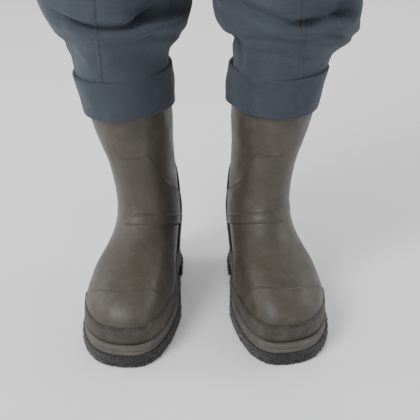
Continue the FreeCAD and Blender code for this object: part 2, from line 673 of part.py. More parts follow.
def belt_run(x0, x1, side):
    """A straight stretch of belt between the buckle and the curved part, as an upright slab."""
    y0 = BELT_BUCKLE_Y
    near = [V(side * x0, y0 + BELT_T / 2, 0), V(side * x0, y0 - BELT_T / 2, 0)]
    far = [V(side * x1, waist_y(x1, BELT_OUT), 0), V(side * x1, waist_y(x1, BELT_IN), 0)]
    slab = prism(near + far, V(0, 0, BELT))
    slab.translate(V(0, 0, BELT_Z - BELT / 2))
    return slab


def make_belt():
    body, plug, arms, _ = buckle_parts(BELT)
    add("belt_socket", belt_place(body))
    add("belt_plug", belt_place(plug))
    add("belt_latch_lower", belt_place(arms[0]))
    add("belt_latch_upper", belt_place(arms[1]))
    add("belt_loop", belt_place(web_loop(BELT, 51, 70, thick=BELT_T)))
    add("belt_stretch", belt_run(46 + PLAY, BELT_STRETCH_X - PLAY, -1))

    low, high = BELT_Z - BELT / 2, BELT_Z + BELT / 2
    ring = waist_ring(BELT_IN, BELT_OUT, low, high)
    ring = ring.cut(box(-BELT_STRETCH_X, BELT_STRETCH_X, -300, 0, low - 1, high + 1))
    x, y = BELT_BUCKLE_X, BELT_BUCKLE_Y
    fold = box(x + 2.2, x + 22, y - 8.7, y + 8.7, low, high)
    fold = fold.cut(box(x + 4.8, x + 12.6, y - 6.2, y + 6.2, low - 1, high + 1))
    fold = fold.cut(box(x + 16, x + 23, y - 9, y - 2, low - 1, high + 1))
    fold = fold.cut(box(x + 2, x + 23, waist_y(30, BELT_IN), 0, low - 1, high + 1))
    ring = ring.fuse(belt_run(x + 20, BELT_STRETCH_X + 0.05, 1)).fuse(fold)
    add("belt", ring)

    inside, outside = BELT_OUT + 0.3, BELT_OUT + 0.3 + KEEPER_T
    foot, top = low - KEEPER_OVER, high + KEEPER_OVER
    bridge = waist_ring(inside, outside, foot, top)
    feet = waist_ring(PLAY, outside, foot, foot + 6)
    feet = feet.fuse(waist_ring(PLAY, outside, top - 6, top))
    whole = bridge.fuse(feet)
    loops = []
    for x, y0, y1 in KEEPERS:
        loops.append(whole.common(box(x - KEEPER_HALF, x + KEEPER_HALF, y0, y1, foot - 1, top + 1)))
    add("belt_keepers", Part.makeCompound(loops))


# ---------------------------------------------------------------- all of it
def main():
    make_boot()
    make_sole()
    make_leg()
    make_torso()
    make_pouch()
    make_d_ring()
    make_braces()
    make_belt()
    os.makedirs("parts", exist_ok=True)
    for old in os.listdir("parts"):
        os.remove(os.path.join("parts", old))
    for name, shape in PARTS.items():
        shape = shape.copy()
        shape.translate(V(0, ORIGIN_Y, 0))
        solids = shape.Solids
        valid = all(solid.isValid() for solid in solids)
        print(name, len(solids), "valid" if valid else "INVALID")
        (solids[0] if len(solids) == 1 else Part.makeCompound(solids)).exportStep(f"parts/{name}.step")


main()
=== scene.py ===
"""Chest waders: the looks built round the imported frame.

Metres, +Z up. The wearer faces -Y, and +X is the wearer's left.
"""

import json
import math

import bmesh
import bpy
import numpy as np
from mathutils import Matrix, Vector
from mathutils.bvhtree import BVHTree

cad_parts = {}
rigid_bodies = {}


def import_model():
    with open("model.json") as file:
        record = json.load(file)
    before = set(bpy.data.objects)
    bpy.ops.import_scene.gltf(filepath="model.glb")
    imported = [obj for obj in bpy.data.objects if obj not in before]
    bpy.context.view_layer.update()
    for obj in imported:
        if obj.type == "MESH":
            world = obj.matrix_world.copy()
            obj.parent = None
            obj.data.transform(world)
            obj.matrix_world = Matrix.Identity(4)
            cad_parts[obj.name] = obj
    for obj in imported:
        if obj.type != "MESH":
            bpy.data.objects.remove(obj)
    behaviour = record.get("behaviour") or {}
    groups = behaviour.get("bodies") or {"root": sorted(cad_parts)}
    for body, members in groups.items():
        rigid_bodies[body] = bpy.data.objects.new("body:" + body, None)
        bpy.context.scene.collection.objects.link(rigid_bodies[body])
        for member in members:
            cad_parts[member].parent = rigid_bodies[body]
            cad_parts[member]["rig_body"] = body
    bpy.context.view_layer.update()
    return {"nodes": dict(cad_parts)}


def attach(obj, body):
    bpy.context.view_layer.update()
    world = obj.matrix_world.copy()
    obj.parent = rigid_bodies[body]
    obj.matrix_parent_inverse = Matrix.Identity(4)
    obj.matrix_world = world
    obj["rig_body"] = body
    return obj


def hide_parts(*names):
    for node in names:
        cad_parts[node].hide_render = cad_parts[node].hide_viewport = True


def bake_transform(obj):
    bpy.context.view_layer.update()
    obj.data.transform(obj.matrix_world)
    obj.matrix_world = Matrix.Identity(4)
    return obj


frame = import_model()

MM = 0.001
FINE = 2  # mesh density
ORIGIN_Y = 24.1 * MM  # the frame's origin lies this far in front of the ankles' middle

# ---------------------------------------------------------------- the boot's form, in millimetres
ANKLE_X, TOE_OUT = 72.8, math.radians(8.0)
LEAN, LEAN_START, LEAN_FULL = 0.15, 110.0, 190.0
FELT, MIDSOLE_TOP, RAND_TOP, BUMPER_TOP = 14.0, 27.0, 42.0, 49.0
CUFF_LOW, CUFF_HIGH = 254.0, 297.0

# One row per section from the sole's edge to the shaft's top: front y and z, back y and z, half widths of
# the ball on the outer and inner side, half width of the heel, and the turn from foot (0) to shaft (1).
BOOT_ROWS = np.array([
    (-181, 27, 93, 27, 58, 47, 32.5, 0.0),
    (-185, 37, 95, 40, 58.5, 47.5, 34, 0.0),
    (-184, 49, 96, 52, 58, 47.5, 35, 0.05),
    (-176, 62, 96, 62, 54.5, 46, 36, 0.1),
    (-157, 76, 95, 70, 50, 44, 36.5, 0.15),
    (-132, 88, 93, 78, 43.5, 43, 37.5, 0.25),
    (-104, 101, 90, 87, 37, 42, 38, 0.4),
    (-80, 116, 87, 98, 34, 41.5, 38.5, 0.6),
    (-64, 134, 82, 115, 34, 40.5, 38, 0.8),
    (-57, 156, 79, 142, 36.5, 38.5, 38.5, 0.95),
    (-57, 186, 79, 178, 40.5, 41, 41, 1.0),
    (-59, 220, 80, 216, 47, 46, 46, 1.0),
    (-62, 254, 82, 254, 50, 49.5, 49.5, 1.0),
    (-63, 290, 83, 290, 51.3, 51.3, 51.3, 1.0),
    (-64, 326, 84, 326, 52, 52, 52, 1.0),
])
SOLE_ROW = np.array([-184, 0, 92, 0, 58, 47, 32, 0.0])
TOE_SWING, TOE_SQUARE, HEEL_SQUARE = 7.0, 2.65, 3.5
BALL_OUT, BALL_IN = (-0.20, 0.45), (-0.50, 0.31)
BAND_TALL = 13.5  # height of the ankle band
CAP_LIFT, SHIELD_LIFT, BAND_LIFT, LINE_LIFT = 0.9, 1.2, 1.7, 1.7  # how far each layer of the upper stands out
GUARD_LIFT, LAYER_SINK = 2.4, 0.7  # the heel guard's rise, and how deep a layer's edge dips under the upper
UPPER_WALL, LAYER_WALL = 3.2 * MM, 0.9 * MM
SIDES = {"left": 1, "right": -1}


# ---------------------------------------------------------------- shared maths
def to_frame(points):
    """Millimetres measured from between the ankles, as metres in the frame."""
    return points * MM + (0, ORIGIN_Y, 0)


def smooth(t):
    """0 below 0, 1 above 1 and an S-curve between."""
    t = np.clip(t, 0.0, 1.0)
    return t * t * (3 - 2 * t)


def edge(distance, width):
    """A soft step: 0 outside, 1 inside, as a signed distance passes 0."""
    return smooth(distance / width + 0.5)


def hill(t):
    """A round bump: 1 at 0, falling to 0 at -1 and 1."""
    return smooth(1 - np.abs(t))


def spline(values, at):
    """The natural cubic spline through rows of values at 0, 1, 2 and so on, read at the given places."""
    y = np.asarray(values, float).reshape(len(values), -1)
    n = len(y)
    system, right = np.eye(n), np.zeros_like(y)
    for i in range(1, n - 1):
        system[i, i - 1:i + 2] = 1, 4, 1
        right[i] = 6 * (y[i - 1] - 2 * y[i] + y[i + 1])
    m = np.linalg.solve(system, right)
    k = np.clip(np.floor(at).astype(int), 0, n - 2)
    t = (np.asarray(at) - k)[:, None]
    s = 1 - t
    return s * y[k] + t * y[k + 1] + ((s**3 - s) * m[k] + (t**3 - t) * m[k + 1]) / 6


def evenly(points, count):
    """count points evenly spaced along each line of points, from its start to just before its end."""
    gaps = np.linalg.norm(np.diff(points, axis=1), axis=2)
    marks = np.concatenate([np.zeros((len(points), 1)), np.cumsum(gaps, axis=1)], axis=1)
    goals = np.arange(count) / count
    out = np.empty((len(points), count, 3))
    for r, (line, mark) in enumerate(zip(points, marks)):
        for axis in range(3):
            out[r, :, axis] = np.interp(goals * mark[-1], mark, line[:, axis])
    return out


def normals(grid, closed=True):
    """Unit normals of a grid of points, rows going up and columns anticlockwise seen from above."""
    if closed:
        across = np.roll(grid, -1, axis=1) - np.roll(grid, 1, axis=1)
    else:
        across = np.gradient(grid, axis=1)
    n = np.cross(across, np.gradient(grid, axis=0))
    return n / np.maximum(np.linalg.norm(n, axis=2, keepdims=True), 1e-12)


ANY_PHASE = 6.3  # a full turn, in radians


def wander(points, size, seed):
    """Smooth unevenness from -1 to 1 over space, with hills about as far apart as size."""
    rng = np.random.default_rng(seed)
    total = np.zeros(points.shape[:-1])
    for _ in range(7):
        way = rng.normal(size=3)
        way /= np.linalg.norm(way)
        bend = rng.normal(size=3)
        bend /= np.linalg.norm(bend)
        phase = 0.9 * np.sin(points @ bend * (2 * math.pi / (1.7 * size)) + rng.uniform(0, ANY_PHASE))
        wave = points @ way * (2 * math.pi / size) * rng.uniform(0.7, 1.4)
        total += np.sin(wave + rng.uniform(0, ANY_PHASE) + phase)
    return total / 4.5


# ---------------------------------------------------------------- meshes
def mesh_piece(name, verts, faces, uvs=None, material=None, body="waders", replaces=(), slot=None):
    """A smooth-shaded piece from vertices and faces; uvs holds one pair per vertex."""
    mesh = bpy.data.meshes.new(name)
    mesh.from_pydata([tuple(v) for v in verts], [], faces)
    mesh.polygons.foreach_set("use_smooth", [True] * len(mesh.polygons))
    if uvs is not None:
        layer = mesh.uv_layers.new(name="cloth")
        index = np.empty(len(mesh.loops), int)
        mesh.loops.foreach_get("vertex_index", index)
        layer.data.foreach_set("uv", np.asarray(uvs, float)[index].ravel())
    piece = bpy.data.objects.new(name, mesh)
    bpy.context.scene.collection.objects.link(piece)
    if material:
        mesh.materials.append(material)
    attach(piece, body)
    if replaces:
        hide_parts(*replaces)
    return piece


def grid_faces(rows, cols, closed, keep=None):
    """Quads between neighbouring rows and columns, all of them or where keep is true at a quad's corner."""
    r = np.arange(rows - 1)[:, None]
    c = np.arange(cols if closed else cols - 1)[None, :]
    d = (c + 1) % cols
    low, high = r * cols, (r + 1) * cols
    quads = np.stack(np.broadcast_arrays(low + c, low + d, high + d, high + c), -1).reshape(-1, 4)
    if keep is not None:
        quads = quads[keep.ravel()[quads].any(axis=1)]
    return quads


def grid_uv(grid):
    """Distances around and along a grid, in metres, as a pair per point."""
    middle = grid[len(grid) // 2]
    steps = np.linalg.norm(np.diff(middle, axis=0), axis=1)
    around = np.concatenate([[0], np.cumsum(steps)])
    rises = np.linalg.norm(np.diff(grid, axis=0), axis=2).mean(axis=1)
    along = np.concatenate([[0], np.cumsum(rises)])
    return np.stack(np.broadcast_arrays(around[None, :], along[:, None]), -1).reshape(-1, 2)


def grid_piece(name, grid, closed=True, keep=None, side=1, thick=0.0, caps=False, **rest):
    """A piece from a grid of points.

    side -1 mirrors it, thick gives it a wall inwards, and caps closes its two ends.
    """
    rows, cols, _ = grid.shape
    if closed:  # the cloth's joint goes to the back
        grid = np.roll(grid, cols // 2, axis=1)
        keep = None if keep is None else np.roll(keep, cols // 2, axis=1)
    uvs = grid_uv(grid)
    quads = grid_faces(rows, cols, closed, keep)
    verts = grid.reshape(-1, 3).copy()
    if keep is not None:
        used = np.unique(quads)
        back = np.full(len(verts), -1)
        back[used] = np.arange(len(used))
        verts, uvs, quads = verts[used], uvs[used], back[quads]
    faces = quads.tolist()
    if caps:
        faces.append(list(range(cols))[::-1])
        faces.append(list(range((rows - 1) * cols, rows * cols)))
    if side < 0:
        verts[:, 0] *= -1
        faces = [f[::-1] for f in faces]
    piece = mesh_piece(name, verts, faces, uvs, **rest)
    if thick:
        walled(piece, thick)
    return piece


def walled(piece, thick):
    """Gives the piece a wall of thick metres inwards."""
    wall = piece.modifiers.new("wall", "SOLIDIFY")
    wall.thickness, wall.offset = thick, -1


# ---------------------------------------------------------------- the boot's surface
def boot_section(rows, cols):
    """Foot-frame points (toes along -Y) of sections, from the toe round by the outer side."""
    t = np.linspace(0, math.pi, 241)[None, :]
    fy, fz, by, bz, ball_out, ball_in, heel, shaft = (c[:, None] for c in rows.T)
    square = np.where(t <= math.pi / 2, TOE_SQUARE, HEEL_SQUARE)
    power = 2 / (square + (2 - square) * shaft)
    s = np.sign(np.cos(t)) * np.abs(np.cos(t)) ** power
    halves = []
    for way, ball, (start, full) in ((1, ball_out, BALL_OUT), (-1, ball_in, BALL_IN)):
        width = heel + (ball - heel) * smooth((s - start) / (full - start))
        x = way * np.abs(np.sin(t)) ** power * width - (1 - shaft) * TOE_SWING * np.maximum(s, 0) ** 2
        y, z = (fy + by) / 2 + s * (fy - by) / 2, (fz + bz) / 2 + s * (fz - bz) / 2
        half = np.stack([x, y, z], -1)
        halves.append(evenly(half if way > 0 else half[:, ::-1], cols // 2))
    return np.concatenate(halves, axis=1)


def lean(z):
    """Sideways shift of the boot's middle line at a height."""
    rise = LEAN_FULL - LEAN_START
    low = LEAN * np.maximum(z - LEAN_START, 0) ** 2 / (2 * rise)
    return np.where(z <= LEAN_FULL, low, LEAN * (z - LEAN_START - rise / 2))


def placed(foot):
    """Foot-frame millimetres to the row frame in metres, for the wearer's left boot."""
    x, y, z = foot[..., 0], foot[..., 1], foot[..., 2]
    c, s = math.cos(TOE_OUT), math.sin(TOE_OUT)
    return to_frame(np.stack([ANKLE_X + x * c - y * s + lean(z), x * s + y * c, z], -1))


def boot_surface(v, cols):
    """Foot-frame points, row-frame points and normals of the boot at the given row places."""
    foot = boot_section(spline(BOOT_ROWS, v), cols)
    grid = placed(foot)
    return foot, grid, normals(grid)


def dents(foot):
    """The unevenness of hand-laid rubber, and the shallow folds over the instep, in millimetres."""
    x, y, z = foot[..., 0], foot[..., 1], foot[..., 2]
    soft = 0.45 * wander(foot, 62.0, 3) + 0.18 * wander(foot, 27.0, 4)
    instep = hill((z - 104) / 26) * smooth((-30 - y) / 40)
    ridges = 0.7 * np.cos(x / 5.2 + 0.6) * hill(x / 34) * instep
    waist = -1.6 * hill((z - 186) / 70) * smooth((np.abs(x) - 22) / 16) * smooth((z - 130) / 30)
    return soft * smooth((z - 50) / 20) + ridges + waist


def arch_top(y):
    """Height of the ankle shield's upper edge: high over the shin, falling steeply round the inner side."""
    return 160 - 0.68 * (y + 20) + 24 * smooth((-22 - y) / 28)


def band_low(y):
    """Height of the ankle band's lower edge: it falls from the instep round to the heel."""
    return 121 - 0.42 * (y + 64)


def band_end(z):
    """How far round the outer side the ankle band reaches: it is cut off at a slant."""
    return np.minimum(18 - (z - 118), 24)


def boot_relief(foot):
    """The layers of the upper: toe cap, ankle shield, ankle band and a short mould line, in millimetres."""
    x, y, z = foot[..., 0], foot[..., 1], foot[..., 2]
    cap_line = -y - 153.5 + 0.0125 * x * x
    cap = CAP_LIFT * edge(cap_line, 1.1) - 0.4 * hill(cap_line / 1.3 + 1.2)
    low = band_low(y)
    high = low + BAND_TALL
    shield = edge(arch_top(y) - z, 1.1) * edge(z - high + 4, 2) * edge(30 - y, 2)
    shield = shield * smooth((-12 - x) / 16)
    shield_rim = shield * hill((arch_top(y) - z - 1.6) / 1.8)
    band = edge(z - low, 1.0) * edge(high - z, 1.0) * edge(band_end(z) - x, 1.2) * edge(30 - y, 2)
    ends = hill((band_end(z) - x - 1.5) / 1.7)
    rims = band * (hill((z - low - 1.3) / 1.5) + hill((high - 1.3 - z) / 1.5) + ends)
    line_z = 204.5 - 0.08 * x + 0.8 * np.sin(x / 6)
    front = smooth((-y - 20) / 12)
    line = hill((z - line_z) / 1.3) * edge(16 - x, 3) * edge(x + 24, 3) * front
    laid = (SHIELD_LIFT * shield + 0.6 * shield_rim) * (1 - band)
    return cap + laid + BAND_LIFT * band + 0.7 * rims + LINE_LIFT * line


# The heel guard's front edge, from the rand up: foot-frame y and z. It starts further forward outside.
GUARD_EDGE = [(16, RAND_TOP), (21, 104), (34, 138), (62, 164), (100, 174), (150, 175)]
GUARD_FORWARD = 12


def guard_mask(foot):
    """1 on the guard round the heel, whose near-black colour is painted shade, 0 off it."""
    x, y, z = foot[..., 0], foot[..., 1], foot[..., 2]
    y = y + GUARD_FORWARD * smooth(x / 20)
    inside = z - RAND_TOP - 1
    for (y0, z0), (y1, z1) in zip(GUARD_EDGE, GUARD_EDGE[1:]):
        size = math.hypot(y1 - y0, z1 - z0)
        inside = np.minimum(inside, ((y - y0) * (z1 - z0) - (z - z0) * (y1 - y0)) / size)
    return edge(inside, 1.8)


def layer(name, v, cols, mask, rise, side, **rest):
    """A sheet laid on the boot: raised where mask is 1 and dipping under the surface round its edge."""
    foot, grid, out = boot_surface(v, cols)
    m = mask(foot)
    lift = dents(foot) + m * rise(foot) - (1 - m) * LAYER_SINK
    grid = grid + out * lift[..., None] * MM
    grid_piece(name, grid, keep=m > 0.01, side=side, thick=LAYER_WALL, **rest)


def bumper_mask(foot):
    """1 on the rand, which grows taller into the bumper round the toe."""
    y, z = foot[..., 1], foot[..., 2]
    top = RAND_TOP + (BUMPER_TOP - RAND_TOP) * smooth((-y - 80) / 34)
    return edge(top - z, 1.4)


def bumper_lift(foot):
    """How far the rand stands out, more round the toe, in millimetres."""
    y, z = foot[..., 1], foot[..., 2]
    return 2.0 + 0.9 * smooth((-y - 100) / 60) + 0.3 * np.sin((z - 27) / 15 * math.pi)


def guard_lift(foot):
    return GUARD_LIFT + 0 * foot[..., 0]


UPPER_END, UPPER_STEPS = 13.36, 143  # the row place at which the upper ends, and its sections up to there
TOP_ROLL = 296  # the upper's thicker top edge starts at this height


def make_boot(name, side):
    """The upper, and the rand, bumper and heel guard laid on it."""
    v = np.linspace(0, UPPER_END, UPPER_STEPS * FINE + 1)
    foot, grid, out = boot_surface(v, 128 * FINE)
    lift = dents(foot) + boot_relief(foot)
    lift += 0.6 * edge(foot[..., 2] - TOP_ROLL, 3)
    grid = grid + out * lift[..., None] * MM
    grid_piece(f"{name}_boot", grid, side=side, thick=UPPER_WALL, material=RUBBER, slot="boot_rubber",
               replaces=(f"{name}_boot_upper", f"{name}_ankle_shield", f"{name}_ankle_band", "toe_caps"))
    layer(f"{name}_bumper_and_rand", np.linspace(0, 2.6, 30 * FINE), 256 * FINE, bumper_mask, bumper_lift,
          side, material=BUMPER, slot="bumper_rubber", replaces=(f"{name}_rand",))
    # the heel cover's near-black rubber is painted shade on the back of the boot
    layer(f"{name}_heel_cover", np.linspace(0.8, 10.6, 70 * FINE), 128 * FINE, guard_mask, guard_lift,
          side, material=HEEL_PAINTED_SHADE_RUBBER, slot="dark_rubber", replaces=(f"{name}_heel_guard",))


# ---------------------------------------------------------------- soles
def outline(offset, cols, z=0.0):
    """The sole's outline in the foot frame, standing out from SOLE_ROW by offset."""
    grow = np.array([-offset, 0, offset, 0, offset, offset, offset, 0])
    loop = boot_section((SOLE_ROW + grow)[None, :], cols)[0]
    loop[:, 2] = z
    return loop


def swept(profile, cols):
    """A grid of outlines, one per (offset, height) of a profile, from the bottom up."""
    return np.stack([outline(offset, cols, z) for offset, z in profile])


def make_midsole(name, side):
    """The midsole's wall, with a groove and a rounded lip."""
    lip = [(-8, FELT), (2.6, FELT), (3.8, 14.6), (4.2, 16), (4.2, 18.6), (3.7, 19.2), (3.7, 19.8),
           (4.2, 20.4), (4.2, 24.4), (3.9, 25.8), (3.0, 26.7), (1.8, MIDSOLE_TOP), (-8, MIDSOLE_TOP)]
    grid = placed(swept(lip, 160 * FINE))
    grid_piece(f"{name}_midsole_wrap", grid, side=side, caps=True, material=MIDSOLE, slot="midsole_rubber",
               replaces=(f"{name}_midsole",))


def felt_pad(loop, seed):
    """The rough slab of felt over a closed foot-frame outline."""
    heights = np.linspace(0, FELT, 9 * FINE)
    n = np.roll(loop, -1, axis=0) - np.roll(loop, 1, axis=0)
    n = np.stack([n[:, 1], -n[:, 0], 0 * n[:, 0]], -1)
    n /= np.linalg.norm(n, axis=1, keepdims=True)
    wall = np.stack([loop + (0, 0, z) for z in heights])
    belly = -1.1 * np.abs(heights / FELT * 2 - 1) ** 6
    fuzz = 0.9 * wander(wall, 5.0, seed) + 0.8 * wander(wall, 2.6, seed + 1)
    fuzz += 0.5 * wander(wall, 11.0, seed + 2)
    wall = wall + n[None] * (fuzz + belly[:, None])[..., None]
    wall[:-1, :, 2] += 0.25 * np.abs(wander(wall[:-1], 4.0, seed + 3))
    inset = wall[[0, -1]] - n[None] * 3.0
    return np.concatenate([inset[:1], wall, inset[1:]])


def cut_loop(loop, low, high):
    """The part of an outline between two lines across the foot, closed again by a straight cut."""
    inside = (loop[:, 1] >= low) & (loop[:, 1] <= high)
    start = int(np.argmax(inside & ~np.roll(inside, 1)))
    kept = np.roll(loop, -start, axis=0)[: int(inside.sum())] if not inside.all() else loop
    steps = np.linspace(0, 1, 40)[1:-1, None]
    return np.concatenate([kept, kept[-1] + (kept[0] - kept[-1]) * steps])


def make_felt(name, side):
    """The felt under the forefoot and under the heel."""
    loop = outline(6.4, 240 * FINE)
    pads = {"forefoot": (cut_loop(loop, -400, 14), 20), "heel": (cut_loop(loop, 34, 400), 30)}
    for part, (pad, seed) in pads.items():
        grid_piece(f"{name}_{part}_felt", placed(felt_pad(pad, seed)), side=side, caps=True,
                   material=FELT_PAD, slot="felt", replaces=(f"{name}_felt_sole",))


def make_insole(name, side):
    lip = [(-12, 30.6), (-7.2, 30.6), (-6.6, 31.4), (-6.6, 33.4), (-7.6, 34.6), (-12, 34.7)]
    insole = grid_piece(f"{name}_insole", placed(swept(lip, 96)), side=side, caps=True, material=INSOLE,
                        slot="insole_foam", replaces=("insoles",))


# ---------------------------------------------------------------- materials
def srgb(r, g, b):
    """A linear colour from 0-255 sRGB."""
    def lin(c):
        c /= 255
        return c / 12.92 if c <= 0.04045 else ((c + 0.055) / 1.055) ** 2.4
    return (lin(r), lin(g), lin(b), 1)


def brighter(colour, factor):
    """A colour with its red, green and blue multiplied, up to 1."""
    return tuple(min(1.0, c * factor) for c in colour[:3]) + (1,)


COLOUR_A, COLOUR_B, COLOUR_OUT = 6, 7, 2  # a mix node's colour sockets


class Look:
    """A material built from nodes. Each method adds one kind of detail and returns its socket."""

    def __init__(self, name, **fixed):
        self.material = bpy.data.materials.new(name)
        self.material.use_nodes = True
        self.tree = self.material.node_tree
        self.shader = self.tree.nodes["Principled BSDF"]
        for socket, value in fixed.items():
            self.shader.inputs[socket.replace("_", " ")].default_value = value
        self.place = self.add("ShaderNodeTexCoord").outputs["Object"]

    def add(self, kind, **settings):
        node = self.tree.nodes.new(kind)
        for key, value in settings.items():
            setattr(node, key, value)
        return node

    def link(self, source, target):
        self.tree.links.new(source, target)

    def feed(self, socket, value):
        if isinstance(value, bpy.types.NodeSocket):
            self.link(value, socket)
        else:
            socket.default_value = value

    def math(self, operation, *values, clamp=False):
        node = self.add("ShaderNodeMath", operation=operation, use_clamp=clamp)
        for socket, value in zip(node.inputs, values):
            self.feed(socket, value)
        return node.outputs[0]

    def times(self, first, second):
        return self.math("MULTIPLY", first, second)

    def plus(self, first, second):
        return self.math("ADD", first, second)

    def uv(self):
        """Distance around and along the piece, in metres."""
        return self.add("ShaderNodeUVMap", uv_map="cloth").outputs["UV"]

    def scaled(self, place, scale):
        """The place with each axis multiplied by its own scale."""
        node = self.add("ShaderNodeMapping")
        node.inputs["Scale"].default_value = scale
        self.link(place, node.inputs["Vector"])
        return node.outputs["Vector"]

    def split(self, place):
        node = self.add("ShaderNodeSeparateXYZ")
        self.link(place, node.inputs[0])
        return node.outputs

    def noise(self, size, detail=3.0, rough=0.55, place=None, distortion=0.0):
        """Cloudy noise from 0 to 1 whose blotches are about size metres across."""
        node = self.add("ShaderNodeTexNoise")
        self.link(place or self.place, node.inputs["Vector"])
        node.inputs["Scale"].default_value = 1 / size
        node.inputs["Detail"].default_value = detail
        node.inputs["Roughness"].default_value = rough
        node.inputs["Distortion"].default_value = distortion
        return node.outputs["Fac"]

    def cells(self, size, place=None, feature="F1"):
        node = self.add("ShaderNodeTexVoronoi", feature=feature)
        self.link(place or self.place, node.inputs["Vector"])
        node.inputs["Scale"].default_value = 1 / size
        return node.outputs["Distance"]

    def band(self, value, low, high, to_low=0.0, to_high=1.0):
        """The value's range low to high stretched to to_low to to_high, clamped."""
        node = self.add("ShaderNodeMapRange")
        self.link(value, node.inputs["Value"])
        ends = {"From Min": low, "From Max": high, "To Min": to_low, "To Max": to_high}
        for socket, number in ends.items():
            node.inputs[socket].default_value = number
        return node.outputs["Result"]

    def wave(self, value, pitch, sharp=1.0):
        """0 to 1 and back once per pitch metres of value."""
        turn = self.math("SINE", self.times(value, 2 * math.pi / pitch))
        up = self.math("MULTIPLY_ADD", turn, 0.5, 0.5)
        return up if sharp == 1 else self.math("POWER", up, sharp)

    def mix(self, amount, first, second, blend="MIX"):
        node = self.add("ShaderNodeMix", data_type="RGBA", blend_type=blend)
        self.feed(node.inputs["Factor"], amount)
        self.feed(node.inputs[COLOUR_A], first)
        self.feed(node.inputs[COLOUR_B], second)
        return node.outputs[COLOUR_OUT]

    def edges(self, radius, low=0.03, high=0.3):
        """1 on edges, where wear and a painted highlight go, and 0 on flats: where a rounded copy of the
        surface turns off the true one.
        """
        bevel = self.add("ShaderNodeBevel", samples=6)
        bevel.inputs["Radius"].default_value = radius
        true = self.add("ShaderNodeNewGeometry").outputs["Normal"]
        dot = self.add("ShaderNodeVectorMath", operation="DOT_PRODUCT")
        self.link(bevel.outputs["Normal"], dot.inputs[0])
        self.link(true, dot.inputs[1])
        return self.band(self.math("SUBTRACT", 1.0, dot.outputs["Value"]), low, high)

    def bumps(self, *layers):
        """Bump in turn from (height 0 to 1, depth in metres) pairs."""
        last = None
        for height, depth in layers:
            node = self.add("ShaderNodeBump")
            node.inputs["Distance"].default_value = depth
            node.inputs["Strength"].default_value = 1.0
            self.link(height, node.inputs["Height"])
            if last:
                self.link(last, node.inputs["Normal"])
            last = node.outputs["Normal"]
        self.link(last, self.shader.inputs["Normal"])

    def patchy(self, colour, over, amount, noise, low, high):
        """A second colour laid over the first where the noise is above low, in full above high."""
        return self.mix(self.times(self.band(noise, low, high), amount), colour, over)

    def finish(self, colour, rough):
        self.feed(self.shader.inputs["Base Color"], colour)
        self.feed(self.shader.inputs["Roughness"], rough)
        return self.material


def rubber(name, dark, mid, pale, rough_low, rough_high):
    """Moulded rubber: mottled, a little dusty in blotches, scuffed with fine pale scratches."""
    look = Look(name, Specular_IOR_Level=0.45)
    mottle = look.noise(0.05, 4)
    colour = look.mix(look.band(mottle, 0.35, 0.68), dark, mid)
    colour = look.patchy(colour, pale, 0.55, look.noise(0.018, 6, 0.7), 0.48, 0.75)
    scratches = look.band(look.noise(0.004, 2, 0.5, look.scaled(look.place, (1, 0.3, 7))), 0.64, 0.72)
    scuff = look.times(scratches, look.band(look.noise(0.03, 2), 0.5, 0.65))
    colour = look.mix(look.times(scuff, 0.35), colour, pale)
    grain = look.noise(0.0016, 3, 0.6)
    rough = look.band(look.noise(0.022, 5, 0.65), 0.3, 0.7, rough_low, rough_high)
    look.bumps((look.noise(0.035, 2), 0.0009), (look.noise(0.009, 3), 0.00025), (grain, 0.00007))
    return look.finish(colour, rough)


def knurled(name):
    """The bumper: fine diagonal ribs crossing round the toe, with a painted highlight that colours their tops
    paler.
    """
    look = Look(name, Specular_IOR_Level=0.35)
    around, along, _ = look.split(look.uv())
    one = look.plus(around, along)
    two = look.math("SUBTRACT", around, along)
    ribs = look.times(look.wave(one, 0.0030), look.wave(two, 0.0030))
    level = look.band(look.split(look.place)[2], 0.0285, 0.030)
    top = look.band(look.split(look.place)[2], 0.0455, 0.047, 1.0, 0.0)
    ribs = look.times(ribs, look.times(level, top))
    # painted highlight: the ribs' tops are coloured paler, as if catching the light
    colour = look.mix(look.band(ribs, 0.1, 0.8), srgb(50, 46, 41), srgb(110, 104, 96))
    colour = look.patchy(colour, srgb(122, 117, 112), 0.5, look.noise(0.02, 5, 0.7), 0.45, 0.8)
    look.bumps((look.noise(0.03, 2), 0.0006), (ribs, 0.0009), (look.noise(0.0015, 3), 0.00008))
    return look.finish(colour, look.band(look.noise(0.02, 4), 0.3, 0.7, 0.5, 0.66))


def striated(name):
    """The midsole's matte side, with fine level lines left by its mould."""
    look = Look(name, Specular_IOR_Level=0.3)
    lines = look.noise(0.004, 3, 0.6, look.scaled(look.place, (0.12, 0.12, 5)))
    colour = look.mix(look.band(lines, 0.35, 0.7), srgb(78, 74, 70), srgb(99, 94, 90))
    colour = look.patchy(colour, srgb(120, 116, 110), 0.6, look.noise(0.016, 5, 0.7), 0.5, 0.8)
    look.bumps((look.noise(0.02, 3), 0.0005), (lines, 0.0002), (look.noise(0.0012, 2), 0.00006))
    return look.finish(colour, look.band(look.noise(0.02, 4), 0.3, 0.7, 0.58, 0.74))


def felted(name):
    """Pressed felt: dark fibres with pale flecks, rough all over."""
    look = Look(name, Specular_IOR_Level=0.1, Sheen_Weight=0.25, Sheen_Roughness=0.6)
    fibres = look.noise(0.0022, 6, 0.75, distortion=1.5)
    flecks = look.band(look.cells(0.0021), 0.05, 0.22, 1.0, 0.0)
    sparse = look.times(flecks, look.band(look.noise(0.005, 3), 0.45, 0.6))
    colour = look.mix(look.band(fibres, 0.32, 0.66), srgb(24, 24, 25), srgb(56, 56, 56))
    colour = look.mix(look.times(sparse, 0.75), colour, srgb(150, 148, 144))
    look.bumps((look.noise(0.006, 4, 0.7), 0.0016), (fibres, 0.0009))
    return look.finish(colour, 0.96)


